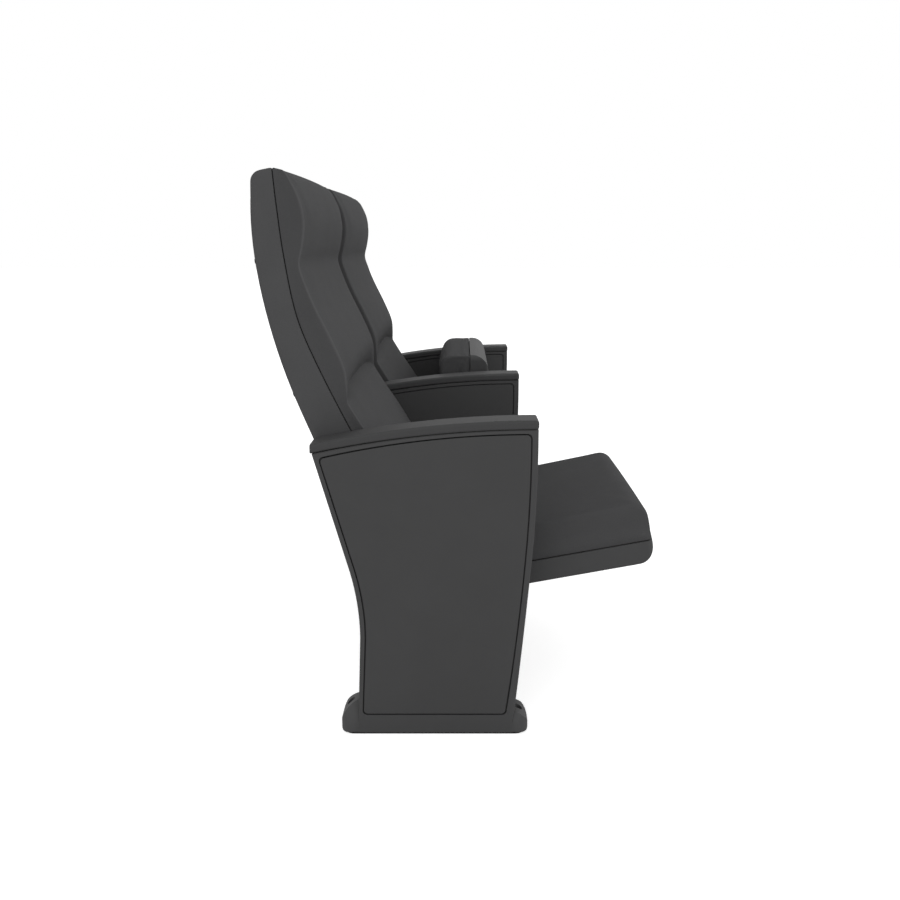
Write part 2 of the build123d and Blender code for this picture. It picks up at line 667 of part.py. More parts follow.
# ---------------------------------------------------------------- seat, in its own frame
def pan_block(inset, top):
    """The pan's outer block, moved inwards and cut off at the given height."""
    bottom = SEAM_Z - PAN_DEPTH + inset
    front = SEAT_FRONT - inset
    rear = -SEAT_REAR + inset
    with BuildPart() as block:
        with BuildSketch(Plane.XZ):
            with BuildLine():
                back_wall = Line((rear, top), (rear, bottom + PAN_REAR_R - inset))
                heel = JernArc(back_wall @ 1, (0, -1), PAN_REAR_R - inset, 90)
                floor = Line(heel @ 1, (front - PAN_FRONT_R + inset, bottom))
                toe = JernArc(floor @ 1, (1, 0), PAN_FRONT_R - inset, 90)
                Polyline(toe @ 1, (front, top), (rear, top))
            make_face()
        extrude(amount=SEAT_HALF - inset, both=True)
        with BuildSketch(Plane.XY.offset(bottom)):
            with Locations(((front + rear) / 2, 0)):
                RectangleRounded(front - rear, 2 * (SEAT_HALF - inset), PAN_PLAN_R - inset)
        extrude(amount=top - bottom, mode=Mode.INTERSECT)
        with BuildSketch(Plane.YZ.offset(rear)):
            with Locations((0, bottom + PAN_DEPTH)):
                RectangleRounded(2 * (SEAT_HALF - inset), 2 * PAN_DEPTH, PAN_EDGE_R - inset)
        extrude(amount=front - rear, mode=Mode.INTERSECT)
    return block.part


def make_seat_pan():
    outer = pan_block(0, SEAM_Z - FIT_GAP)
    inner = pan_block(PAN_WALL, SEAM_Z + PAN_WALL)
    floor_z = SEAM_Z - PAN_DEPTH
    screw_points = [(x, y, floor_z) for x in CROSS_TUBE_XS for y in SEAT_SCREW_YS]
    with BuildPart() as pan:
        add(outer)
        add(inner, mode=Mode.SUBTRACT)
        with Locations(across(0, 0)):
            Cylinder(HUB_R + 2 * FIT_GAP, 2 * SEAT_HALF + 2 * PAN_WALL, mode=Mode.SUBTRACT)
        with Locations(*screw_points):
            Cylinder(2 * SEAT_SCREW_HEAD_R, SIDE_BAR_BOTTOM - FIT_GAP - floor_z, align=BOTTOM)
        with Locations(*screw_points):
            Cylinder(SEAT_SCREW_HEAD_R + FIT_GAP, SEAT_SCREW_HEAD + FIT_GAP, align=BOTTOM, mode=Mode.SUBTRACT)
            Cylinder(SEAT_SCREW_R + FIT_GAP, 3 * PAN_WALL, align=BOTTOM, mode=Mode.SUBTRACT)
    return pan.part


def cushion_face(y):
    """Side section of the seat cushion at y."""
    fall = round_fall(SEAT_HALF - abs(y), CUSHION_SIDE_R)
    crown = CUSHION_CROWN * (1 - (y / SEAT_HALF) ** 2)
    top = SEAM_Z + CUSHION_THICK - CUSHION_CROWN + crown - fall
    pull = CUSHION_DRAW + fall * CUSHION_PULL
    front = SEAT_FRONT - pull
    rear = -SEAT_REAR + pull
    nose = CUSHION_NOSE + crown / 2
    rear_top = top - CUSHION_REAR_DROP
    front_bend = CUSHION_FRONT_R * (1 - math.sqrt(0.5))
    rear_bend = CUSHION_REAR_R * (1 - math.sqrt(0.5))
    with BuildSketch() as face:
        with BuildLine():
            Line((rear, SEAM_Z), (front, SEAM_Z))
            ThreePointArc(
                (front, SEAM_Z),
                (front + nose, (SEAM_Z + top - CUSHION_FRONT_R) / 2),
                (front, top - CUSHION_FRONT_R),
            )
            ThreePointArc(
                (front, top - CUSHION_FRONT_R),
                (front - front_bend, top - front_bend),
                (front - CUSHION_FRONT_R, top),
            )
            ThreePointArc(
                (front - CUSHION_FRONT_R, top),
                ((front + rear) / 2, top - CUSHION_REAR_DROP * 0.4),
                (rear + CUSHION_REAR_R, rear_top),
            )
            ThreePointArc(
                (rear + CUSHION_REAR_R, rear_top), (rear + rear_bend, rear_top - rear_bend),
                (rear, rear_top - CUSHION_REAR_R),
            )
            Line((rear, rear_top - CUSHION_REAR_R), (rear, SEAM_Z))
        make_face()
    return face.sketch


def make_seat_cushion():
    sections = [side_plane(y) * cushion_face(y) for y in stations(SEAT_HALF, CUSHION_SIDE_R, (0.5,))]
    with BuildPart() as cushion:
        loft(sections, ruled=True)
        for side in (-1, 1):
            with Locations(across(0, 0, side * (SEAT_HALF + TUNNEL_INNER_Y) / 2)):
                Cylinder(TUNNEL_R, SEAT_HALF - TUNNEL_INNER_Y + FIT_GAP, mode=Mode.SUBTRACT)
    return cushion.part


def make_seat_board():
    front = SEAT_FRONT - PAN_WALL - SEAT_BOARD_INSET
    rear = -SEAT_REAR + PAN_WALL + SEAT_BOARD_INSET
    half = SEAT_HALF - PAN_WALL - SEAT_BOARD_INSET
    with BuildPart() as board:
        with BuildSketch(Plane.XY.offset(SEAM_Z - FIT_GAP - SEAT_BOARD_THICK)):
            with Locations(((front + rear) / 2, 0)):
                RectangleRounded(front - rear, 2 * half, PAN_PLAN_R)
            with Locations(*[(x, y) for x in CROSS_TUBE_XS for y in SEAT_SCREW_YS]):
                Circle(SEAT_SCREW_R + RUN_GAP, mode=Mode.SUBTRACT)
        extrude(amount=SEAT_BOARD_THICK)
        for side in (-1, 1):
            with Locations(across(0, 0, side * (SEAT_HALF + TUNNEL_INNER_Y) / 2)):
                Cylinder(BOARD_NOTCH_R, SEAT_HALF - TUNNEL_INNER_Y, mode=Mode.SUBTRACT)
    return board.part


def make_side_bars():
    """The seat frame's side bars, with their hubs and the lugs behind the buffers."""
    bar_length = SIDE_BAR_FRONT - SIDE_BAR_REAR
    bar_mid = ((SIDE_BAR_FRONT + SIDE_BAR_REAR) / 2, (SIDE_BAR_TOP + SIDE_BAR_BOTTOM) / 2)
    lug_inner = LEVER_Y - BUFFER_WIDTH / 2
    lug_aside = BUFFER_ASIDE + BUFFER_THICK + STOP_LUG_THICK / 2
    lug_along = (BUFFER_NEAR + LEVER_REACH) / 2
    with BuildPart() as bars:
        for side in (-1, 1):
            with BuildSketch(side_plane(side * SIDE_BAR_Y)):
                with Locations(bar_mid):
                    Rectangle(bar_length, SIDE_BAR_TOP - SIDE_BAR_BOTTOM)
                Circle(HUB_R)
            extrude(amount=SIDE_BAR_THICK / 2, both=True)
            with Locations(across(0, 0, side * (SEAT_HALF + HUB_INNER_Y) / 2)):
                Cylinder(HUB_R, HUB_LENGTH)
            for angle, turn in ((LEVER_ANGLE - TILT_DOWN, 1), (LEVER_ANGLE - TILT_UP, -1)):
                with BuildSketch(side_plane(side * (SIDE_BAR_Y + lug_inner) / 2)):
                    with Locations(turned(angle, lug_along, turn * lug_aside)):
                        Rectangle(LEVER_REACH - BUFFER_NEAR, STOP_LUG_THICK, rotation=angle)
                extrude(amount=(SIDE_BAR_Y - lug_inner) / 2, both=True)
        with Locations(across(0, 0, SEAT_HALF), across(0, 0, -SEAT_HALF)):
            Cylinder(BUSH_R + RUN_GAP, 3 * HUB_LENGTH, mode=Mode.SUBTRACT)
    return bars.part


def make_cross_tubes():
    """The seat frame's square tubes, welded between the side bars."""
    length = 2 * SIDE_BAR_Y - SIDE_BAR_THICK
    height = SIDE_BAR_TOP - SIDE_BAR_BOTTOM
    middle = (SIDE_BAR_TOP + SIDE_BAR_BOTTOM) / 2
    bore = (CROSS_TUBE_WIDTH - 2 * CROSS_TUBE_WALL, height - 2 * CROSS_TUBE_WALL)
    with BuildPart() as tubes:
        with Locations(*[(x, 0, middle) for x in CROSS_TUBE_XS]):
            Box(CROSS_TUBE_WIDTH, length, height)
            Box(bore[0], length, bore[1], mode=Mode.SUBTRACT)
        with Locations(*[(x, y, middle) for x in CROSS_TUBE_XS for y in SEAT_SCREW_YS]):
            Cylinder(SEAT_SCREW_R + FIT_GAP, 2 * height, mode=Mode.SUBTRACT)
    return tubes.part


def make_seat_bushes():
    with BuildPart() as bushes:
        for side in (-1, 1):
            with Locations(across(0, 0, side * (SEAT_HALF + HUB_INNER_Y) / 2)):
                Cylinder(BUSH_R, HUB_LENGTH)
                Cylinder(BUSH_BORE_R, 2 * HUB_LENGTH, mode=Mode.SUBTRACT)
    return bushes.part


def make_stop_buffers():
    """The rubber buffers between the seat frame's lugs and the stop levers."""
    with BuildPart() as buffers:
        for side in (-1, 1):
            for angle, turn in ((LEVER_ANGLE - TILT_DOWN, 1), (LEVER_ANGLE - TILT_UP, -1)):
                with BuildSketch(side_plane(side * LEVER_Y)):
                    aside = turn * (BUFFER_ASIDE + BUFFER_THICK / 2)
                    with Locations(turned(angle, (BUFFER_NEAR + LEVER_REACH) / 2, aside)):
                        Rectangle(LEVER_REACH - BUFFER_NEAR, BUFFER_THICK, rotation=angle)
                extrude(amount=BUFFER_WIDTH / 2, both=True)
    return buffers.part


def make_seat_screws():
    floor_z = SEAM_Z - PAN_DEPTH
    length = SEAM_Z - FIT_GAP - SEAT_SCREW_COVER - floor_z
    with BuildPart() as screws:
        with Locations(*[(x, y, floor_z) for x in CROSS_TUBE_XS for y in SEAT_SCREW_YS]):
            Cylinder(SEAT_SCREW_R, length, align=BOTTOM)
            Cylinder(SEAT_SCREW_HEAD_R, SEAT_SCREW_HEAD, align=BOTTOM)
    return screws.part


# ---------------------------------------------------------------- back, centred on its own middle plane
def seam_x(z):
    """The seam line's x at a height, straight between its points."""
    for (x0, z0), (x1, z1) in zip(SEAM_LINE, SEAM_LINE[1:]):
        if z >= z1:
            return x0 + (x1 - x0) * (z - z0) / (z1 - z0)
    return SEAM_LINE[-1][0]


def back_drop(y):
    """How much lower the back's top is at y than in the middle."""
    return BACK_TOP_DROP * (y / BACK_HALF) ** 2 + round_fall(BACK_HALF - abs(y), BACK_EDGE_R) / 2


def back_cushion_face(y):
    """Side section of the back's front cushion at y."""
    pull = BACK_CROWN * (y / BACK_HALF) ** 2 + round_fall(BACK_HALF - abs(y), BACK_EDGE_R)
    drop = back_drop(y)
    deep = 1 - (y / BACK_HALF) ** 4

    def pulled(point):
        share = min((point[0] - seam_x(point[1])) / CUSHION_FULL_THICK, 1.0)
        fold = deep * max(1 - abs(point[1] - FRONT_LOWER[0][1]) / FOLD_REACH, 0)
        return (point[0] - pull * share - FOLD_SINK * fold, point[1] + FOLD_LIFT * fold)

    def lowered(point):
        return (point[0], point[1] - drop)

    seam = [lowered(SEAM_LINE[0])] + list(SEAM_LINE[1:])
    upper = [lowered(pulled(FRONT_UPPER[0]))] + [pulled(point) for point in FRONT_UPPER[1:]]
    lower = [pulled(point) for point in FRONT_LOWER]
    with BuildSketch() as face:
        with BuildLine():
            Spline(*seam)
            ThreePointArc(seam[0], lowered(pulled(CUSHION_TOP_CREST)), upper[0])
            Spline(*upper)
            Spline(*lower)
            ThreePointArc(lower[-1], CUSHION_BOTTOM_CREST, seam[-1])
        make_face()
    return face.sketch


def back_rear_face(y):
    """Side section of the back's rear pad at y."""
    pull = round_fall(BACK_HALF - abs(y), BACK_EDGE_R)
    drop = back_drop(y)
    seam = [(SEAM_LINE[0][0] - FIT_GAP, SEAM_LINE[0][1] - drop)] + [(x - FIT_GAP, z) for x, z in SEAM_LINE[1:]]
    rear = [(REAR_LINE[0][0] + pull, REAR_LINE[0][1] - drop)] + [(x + pull, z) for x, z in REAR_LINE[1:]]
    with BuildSketch() as face:
        with BuildLine():
            Spline(*seam)
            ThreePointArc(seam[0], (REAR_TOP_CREST[0] + pull / 2, REAR_TOP_CREST[1] - drop), rear[0])
            Spline(*rear)
            Line(rear[-1], seam[-1])
        make_face()
    return face.sketch


def make_back_cushion():
    sections = [side_plane(y) * back_cushion_face(y) for y in stations(BACK_HALF, BACK_EDGE_R, (0.66, 0.33))]
    with BuildPart() as cushion:
        loft(sections, ruled=True)
    return cushion.part


def curved_slab(line, near, far, top, bottom, half, corner_r):
    """A slab along a side view line, between two depths behind it, cut to a rounded front view."""
    front = shifted(line, near)
    rear = shifted(line, far)
    with BuildPart() as slab:
        with BuildSketch(Plane.XZ):
            with BuildLine():
                Spline(*front)
                Spline(*rear)
                Line(front[0], rear[0])
                Line(front[-1], rear[-1])
            make_face()
        extrude(amount=half, both=True)
        with BuildSketch(Plane.YZ.offset(-top)):
            with Locations((0, (top + bottom) / 2)):
                RectangleRounded(2 * half, top - bottom, corner_r)
        extrude(amount=2 * top, mode=Mode.INTERSECT)
    return slab.part


def make_back_board(gap, front_gap):
    return curved_slab(
        SEAM_LINE,
        BACK_BOARD_SETBACK - front_gap,
        BACK_BOARD_SETBACK + BACK_BOARD_THICK + gap,
        BACK_BOARD_TOP + gap,
        BACK_BOARD_BOTTOM - gap,
        BACK_HALF - BACK_BOARD_INSET + gap,
        BACK_BOARD_CORNER_R,
    )


def make_rear_panel(gap, proud):
    return curved_slab(
        REAR_LINE,
        REAR_PANEL_PROUD - REAR_PANEL_THICK - gap,
        proud,
        REAR_PANEL_TOP + gap,
        REAR_PANEL_BOTTOM - gap,
        BACK_HALF - REAR_PANEL_INSET + gap,
        REAR_PANEL_CORNER_R,
    )


def rear_at(z):
    """The rear line's point at a height and the angle of its outward normal."""
    edge = Spline(*REAR_LINE)
    low, high = 0.0, 1.0
    for _ in range(40):
        t = (low + high) / 2
        if edge.position_at(t).Y > z:
            low = t
        else:
            high = t
    point = edge.position_at(t)
    down = edge.tangent_at(t)
    return (point.X, point.Y), math.degrees(math.atan2(-down.X, down.Y))


def along_normal(x, y, z, angle):
    """A place whose Z axis points along a side view direction."""
    way_x, way_z = turned(angle, 1, 0)
    return Location(Plane(origin=(x, y, z), x_dir=(0, 1, 0), z_dir=(way_x, 0, way_z)))


def make_rear_pad():
    board_pocket = make_back_board(FIT_GAP, 3 * BACK_BOARD_SETBACK)
    panel_pocket = make_rear_panel(FIT_GAP, 3 * REAR_PANEL_PROUD)
    sections = [side_plane(y) * back_rear_face(y) for y in stations(BACK_HALF, BACK_EDGE_R, (0.66, 0.33))]
    with BuildPart() as pad:
        loft(sections, ruled=True)
        add(board_pocket, mode=Mode.SUBTRACT)
        add(panel_pocket, mode=Mode.SUBTRACT)
        for (x, z), height in zip(RAIL_POINTS, RAIL_ZS):
            angle = seam_at(height)[1]
            with Locations(across(x, z)):
                Cylinder(RAIL_R + FIT_GAP, 2 * BACK_HALF + 2 * BACK_SIDE_GAP, mode=Mode.SUBTRACT)
            with Locations(*[along_normal(x, y, z, angle) for y in LUG_YS]):
                Box(
                    LUG_WIDTH + 2 * FIT_GAP,
                    LUG_HEIGHT + 2 * FIT_GAP,
                    2 * (RAIL_R + LUG_THICK),
                    mode=Mode.SUBTRACT,
                )
                Cylinder(
                    BOARD_BOLT_HEAD_R + FIT_GAP,
                    RAIL_R + BOARD_BOLT_HEAD + 2 * FIT_GAP,
                    align=BOTTOM,
                    mode=Mode.SUBTRACT,
                )
        for z in PANEL_SCREW_ZS:
            (x, height), angle = rear_at(z)
            half = BACK_HALF - REAR_PANEL_INSET - PANEL_SCREW_EDGE
            with Locations(*[along_normal(x, y, height, angle) for y in (-half, half)]):
                Cylinder(PANEL_SCREW_R + RUN_GAP, 2 * PANEL_SCREW_BITE + 2 * FIT_GAP, mode=Mode.SUBTRACT)
    return pad.part


def make_pierced_rear_panel():
    panel = make_rear_panel(0, REAR_PANEL_PROUD)
    half = BACK_HALF - REAR_PANEL_INSET - PANEL_SCREW_EDGE
    with BuildPart() as pierced:
        add(panel)
        for z in PANEL_SCREW_ZS:
            (x, height), angle = rear_at(z)
            with Locations(*[along_normal(x, y, height, angle) for y in (-half, half)]):
                Cylinder(PANEL_SCREW_R + RUN_GAP, 6 * REAR_PANEL_THICK, mode=Mode.SUBTRACT)
    return pierced.part


def make_panel_screws():
    half = BACK_HALF - REAR_PANEL_INSET - PANEL_SCREW_EDGE
    with BuildPart() as screws:
        for z in PANEL_SCREW_ZS:
            (x, height), angle = rear_at(z)
            dx, dz = turned(angle, REAR_PANEL_PROUD + FIT_GAP, 0)
            with Locations(*[along_normal(x + dx, y, height + dz, angle) for y in (-half, half)]):
                Cylinder(PANEL_SCREW_HEAD_R, PANEL_SCREW_HEAD, align=BOTTOM)
                Cylinder(PANEL_SCREW_R, PANEL_SCREW_BITE, align=(Align.CENTER, Align.CENTER, Align.MAX))
    return screws.part


def make_pierced_back_board():
    board = make_back_board(0, 0)
    with BuildPart() as pierced:
        add(board)
        for (x, z), height in zip(RAIL_POINTS, RAIL_ZS):
            angle = seam_at(height)[1]
            with Locations(*[along_normal(x, y, z, angle) for y in LUG_YS]):
                Cylinder(BOARD_BOLT_R + RUN_GAP, 6 * RAIL_R, mode=Mode.SUBTRACT)
    return pierced.part


def make_back_frame():
    with BuildPart() as frame:
        for (x, z), height in zip(RAIL_POINTS, RAIL_ZS):
            angle = seam_at(height)[1]
            with Locations(across(x, z)):
                Cylinder(RAIL_R, 2 * RAIL_HALF - PLATE_THICK)
            lug_x, lug_z = behind_seam(height, RAIL_DEPTH - RAIL_R + RAIL_WELD - LUG_THICK / 2)
            with Locations(*[along_normal(lug_x, y, lug_z, angle) for y in LUG_YS]):
                Box(LUG_WIDTH, LUG_HEIGHT, LUG_THICK)
        for (x, z), height in zip(RAIL_POINTS, RAIL_ZS):
            angle = seam_at(height)[1]
            with Locations(across(x, z)):
                Cylinder(RAIL_R - RAIL_WALL, 2 * RAIL_HALF - PLATE_THICK, mode=Mode.SUBTRACT)
            with Locations(*[along_normal(x, y, z, angle) for y in LUG_YS]):
                Cylinder(BOARD_BOLT_R + RUN_GAP, 6 * RAIL_R, mode=Mode.SUBTRACT)
        for side in (-1, 1):
            with BuildSketch(side_plane(side * (RAIL_HALF - PLATE_THICK / 2))):
                with Locations(PLATE_MID):
                    SlotOverall(PLATE_LENGTH, PLATE_WIDTH, rotation=PLATE_ANGLE)
                with Locations(*PLATE_POINTS):
                    Circle(PLATE_BOLT_R + RUN_GAP, mode=Mode.SUBTRACT)
            extrude(amount=PLATE_THICK / 2, both=True)
            with Locations(*[across(x, z, side * (RAIL_HALF - PLATE_THICK)) for x, z in PLATE_POINTS]):
                Cylinder(PLATE_BOLT_HEAD_R + RUN_GAP, 2 * PLATE_BOLT_HEAD, mode=Mode.SUBTRACT)
    return frame.part


def make_board_bolts():
    length = 2 * RAIL_R + LUG_THICK - RAIL_WELD + FIT_GAP + BOARD_BOLT_BITE
    with BuildPart() as bolts:
        for (x, z), height in zip(RAIL_POINTS, RAIL_ZS):
            angle = seam_at(height)[1]
            dx, dz = turned(angle, RAIL_R, 0)
            with Locations(*[along_normal(x + dx, y, z + dz, angle) for y in LUG_YS]):
                Cylinder(BOARD_BOLT_HEAD_R, BOARD_BOLT_HEAD, align=BOTTOM)
                Cylinder(BOARD_BOLT_R, length, align=(Align.CENTER, Align.CENTER, Align.MAX))
    return bolts.part


def make_plate_bolts():
    """The bolts that hold the backs' end plates to the standards, through the side panels."""
    reach = HALF_THICK - LEDGE_Y + PLATE_BOLT_BITE + PLATE_THICK
    with BuildPart() as bolts:
        for y in SEAT_YS.values():
            for side in (-1, 1):
                outer = y + side * (RAIL_HALF - PLATE_THICK)
                with Locations(*[across(x, z, outer + side * reach / 2) for x, z in PLATE_POINTS]):
                    Cylinder(PLATE_BOLT_R, reach)
                with Locations(*[across(x, z, outer + side * PLATE_BOLT_HEAD / 2) for x, z in PLATE_POINTS]):
                    Cylinder(PLATE_BOLT_HEAD_R, PLATE_BOLT_HEAD)
    return bolts.part


# ---------------------------------------------------------------- the row
frame = make_standard_frame()
armrest = make_armrest()
plain_panel = make_side_panel(False)
pierced_panel = make_side_panel(True)
foot_pad = make_foot_pad()
for name, y in STANDARD_YS.items():
    place = Location((0, y, 0))
    right_panel = plain_panel if name == "right" else pierced_panel
    left_panel = plain_panel if name == "left" else pierced_panel
    save(frame.moved(place), name + "_standard_frame")
    save(armrest.moved(place), name + "_armrest")
    save(foot_pad.moved(place), name + "_foot_pad")
    save(left_panel.moved(place), name + "_side_panel_left")
    save(mirror(right_panel, about=Plane.XZ).moved(place), name + "_side_panel_right")
save(make_arm_screws(), "armrest_screws")

NUT_REACH = LEDGE_Y - FIT_GAP
right_shaft = make_pivot_shaft(NUT_REACH, SHAFT_REACH)
middle_shaft = make_pivot_shaft(SHAFT_REACH, SHAFT_REACH)
left_shaft = make_pivot_shaft(SHAFT_REACH, NUT_REACH)
save(right_shaft.moved(Location((0, -SEAT_PITCH, 0))), "right_pivot_shaft")
save(middle_shaft, "middle_pivot_shaft")
save(left_shaft.moved(Location((0, SEAT_PITCH, 0))), "left_pivot_shaft")
nuts = [
    make_pivot_nut(-1).moved(Location((0, -SEAT_PITCH, 0))),
    make_pivot_nut(-1),
    make_pivot_nut(1).moved(Location((0, SEAT_PITCH, 0))),
]
save(Compound(children=nuts), "pivot_nuts")

cover = make_pivot_cover()
mirrored_cover = mirror(cover, about=Plane.XZ)
lever = make_stop_lever()
washer = make_spring_washer()
spring_room = SPRING_PITCH * SPRING_TURNS + 2 * SPRING_WIRE_R + 2 * FIT_GAP
washer_y = LEVER_Y - LEVER_THICK / 2 - spring_room - WASHER_THICK / 2
springs = {side: make_return_spring(side) for side in (-1, 1)}
covers = []
levers = []
washers = []
for name, y in SEAT_YS.items():
    covers.append(mirrored_cover.moved(Location((HINGE_X, y + RAIL_HALF, HINGE_Z))))
    covers.append(cover.moved(Location((HINGE_X, y - RAIL_HALF, HINGE_Z))))
    for side in (-1, 1):
        levers.append(lever.moved(Location((HINGE_X, y + side * LEVER_Y, HINGE_Z))))
        washers.append(washer.moved(Location((HINGE_X, y + side * washer_y, HINGE_Z))))
    coils = [springs[side].moved(Location((HINGE_X, y, HINGE_Z))) for side in (-1, 1)]
    save(Compound(children=coils), "return_springs_" + name)
save(Compound(children=covers), "pivot_covers")
save(Compound(children=levers), "stop_levers")
save(Compound(children=washers), "spring_washers")

seat_pieces = {
    "seat_pan": make_seat_pan(),
    "seat_cushion": make_seat_cushion(),
    "seat_board": make_seat_board(),
    "seat_side_bars": make_side_bars(),
    "seat_cross_tubes": make_cross_tubes(),
    "seat_bushes": make_seat_bushes(),
    "stop_buffers": make_stop_buffers(),
    "seat_screws": make_seat_screws(),
}
for name, y in SEAT_YS.items():
    place = Location((HINGE_X, y, HINGE_Z), (0, -SEAT_TILTS[name], 0))
    for piece, shape in seat_pieces.items():
        save(shape.moved(place), piece + "_" + name)

back_pieces = {
    "back_cushion": make_back_cushion(),
    "back_board": make_pierced_back_board(),
    "back_rear_pad": make_rear_pad(),
    "back_rear_panel": make_pierced_rear_panel(),
    "back_panel_screws": make_panel_screws(),
    "back_frame": make_back_frame(),
    "back_board_bolts": make_board_bolts(),
}
for name, y in SEAT_YS.items():
    for piece, shape in back_pieces.items():
        save(shape.moved(Location((0, y, 0))), piece + "_" + name)
save(make_plate_bolts(), "back_plate_bolts")
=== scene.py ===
# %% [markdown]
# # A pair of tip up auditorium seats
#
# The model is a short row of a theatre: two seats on three cast standards. The rigid
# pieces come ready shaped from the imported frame, so here they only get their finishes.
# The upholstery is made anew: each pad is a closed form that is cut into a grid, shaped
# after the real cushion and then softened.

# %% Load the frame
import json
import math
import bmesh
import bpy
from mathutils import Matrix, Vector


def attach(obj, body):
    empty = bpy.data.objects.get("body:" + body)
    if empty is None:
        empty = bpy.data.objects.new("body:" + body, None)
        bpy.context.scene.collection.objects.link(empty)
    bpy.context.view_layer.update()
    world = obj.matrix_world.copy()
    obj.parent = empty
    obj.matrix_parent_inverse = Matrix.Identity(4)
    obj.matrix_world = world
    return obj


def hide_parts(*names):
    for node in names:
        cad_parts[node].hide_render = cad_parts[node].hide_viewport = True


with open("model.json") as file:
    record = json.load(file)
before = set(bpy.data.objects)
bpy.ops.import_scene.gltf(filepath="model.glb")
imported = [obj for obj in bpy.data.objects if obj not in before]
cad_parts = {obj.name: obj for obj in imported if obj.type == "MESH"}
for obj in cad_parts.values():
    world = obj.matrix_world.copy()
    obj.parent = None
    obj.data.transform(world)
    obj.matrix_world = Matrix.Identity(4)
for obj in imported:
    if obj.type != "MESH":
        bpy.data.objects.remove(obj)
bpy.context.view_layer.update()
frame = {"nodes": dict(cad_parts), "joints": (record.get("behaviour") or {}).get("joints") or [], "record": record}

# %% [markdown]
# ## The camera
#
# The seats are seen almost from the side, from a little above the armrests. An empty
# object could aim the camera, but the view of a real photograph is better kept as plain
# numbers: the place, the tilt, the focal length and a small shift of the frame.

# %% Camera
CAMERA_PLACE = (0.0545, -2.153, 0.915)
CAMERA_TILT = 79  # degrees, where 90 looks level
LENS = 35.62
FRAME_SHIFT = (-0.0147, -0.0377)

camera_data = bpy.data.cameras.new("camera")
camera_data.lens = LENS
camera_data.shift_x, camera_data.shift_y = FRAME_SHIFT
camera = bpy.data.objects.new("camera", camera_data)
camera.location = CAMERA_PLACE
camera.rotation_euler = (math.radians(CAMERA_TILT), 0, 0)
bpy.context.scene.collection.objects.link(camera)
bpy.context.scene.camera = camera
bpy.context.scene.view_settings.view_transform = "Standard"
print("camera at", CAMERA_PLACE, "with a lens of", LENS, "mm")

# %% [markdown]
# ## The lamps
#
# Two large soft boxes give the cloth and the plastic their gentle shading, one beside
# the row and one in front of it. Small lamps would draw hard shadows, and the sky alone
# would leave the folds flat.

# %% Lamps
SOFT_BOX = 2.6


def lamp(name, place, target, watts):
    """A square soft box that looks at the target."""
    data = bpy.data.lights.new(name, "AREA")
    data.size = SOFT_BOX
    data.energy = watts
    lamp_object = bpy.data.objects.new(name, data)
    lamp_object.location = place
    aim = Vector(target) - Vector(place)
    lamp_object.rotation_euler = aim.to_track_quat("-Z", "Y").to_euler()
    bpy.context.scene.collection.objects.link(lamp_object)
    print(name, "gives", watts, "W")


lamp("side_box", (-0.4, -3.6, 1.7), (0, 0, 0.6), 13)
lamp("front_box", (3.2, -1.4, 1.5), (0, 0, 0.5), 10)

# %% [markdown]
# ## Sky and floor
#
# The studio is even and white. The sky is white for the camera and in reflections, and a
# plain soft light for all else. The floor is a pale sheet that adds a little white of
# its own where the camera sees it, so that only the soft shadow stays. A bent paper
# backdrop would do as well, but its bend shows from above.


# %% Nodes helpers
def tree_of(owner):
    """An empty node tree for a material or the world, and a function that adds nodes to it.
    Inputs go by name with _ for a space, or by number after a leading _."""
    owner.use_nodes = True
    tree = owner.node_tree
    tree.nodes.clear()

    def add_node(kind, settings=None, **inputs):
        node = tree.nodes.new("ShaderNode" + kind)
        for key, value in (settings or {}).items():
            setattr(node, key, value)
        for key, value in inputs.items():
            socket = node.inputs[int(key[1:]) if key[0] == "_" else key.replace("_", " ")]
            if isinstance(value, bpy.types.NodeSocket):
                tree.links.new(value, socket)
            else:
                socket.default_value = value
        return node

    return tree, add_node


def math_of(node, operation, *values):
    """The result of a Math node that gets numbers and sockets in their order."""
    inputs = {"_" + str(place): value for place, value in enumerate(values)}
    return node("Math", {"operation": operation}, **inputs).outputs[0]


# %% Sky
WHITE = (1, 1, 1, 1)
SKY_LIGHT, SKY_SEEN = 0.88, 1.0

world = bpy.data.worlds.new("studio")
bpy.context.scene.world = world
tree, node = tree_of(world)
rays = node("LightPath").outputs
seen = math_of(node, "MAXIMUM", rays["Is Camera Ray"], rays["Is Glossy Ray"])
seen = math_of(node, "MAXIMUM", seen, rays["Is Transmission Ray"])
plain = node("Background", None, Color=WHITE, Strength=SKY_LIGHT)
white = node("Background", None, Color=WHITE, Strength=SKY_SEEN)
mixed = node("MixShader", None, Fac=seen, _1=plain.outputs[0], _2=white.outputs[0])
node("OutputWorld", None, Surface=mixed.outputs[0])
print("sky light", SKY_LIGHT)

# %% Floor
FLOOR_HALF = 30  # metres
FLOOR_GREY = (0.8, 0.8, 0.8, 1)
FLOOR_GLOW = 0.6

bm = bmesh.new()
bmesh.ops.create_grid(bm, x_segments=1, y_segments=1, size=FLOOR_HALF)
floor_mesh = bpy.data.meshes.new("floor")
bm.to_mesh(floor_mesh)
bm.free()
floor = bpy.data.objects.new("floor", floor_mesh)
bpy.context.scene.collection.objects.link(floor)
floor_paint = bpy.data.materials.new("floor_paint")
tree, node = tree_of(floor_paint)
paint = node("BsdfDiffuse", None, Color=FLOOR_GREY)
lift = math_of(node, "MULTIPLY", node("LightPath").outputs["Is Camera Ray"], FLOOR_GLOW)
glow = node("Emission", None, Color=WHITE, Strength=lift)
both = node("AddShader", None, _0=paint.outputs[0], _1=glow.outputs[0])
node("OutputMaterial", None, Surface=both.outputs[0])
floor_mesh.materials.append(floor_paint)
print("floor", 2 * FLOOR_HALF, "m wide")

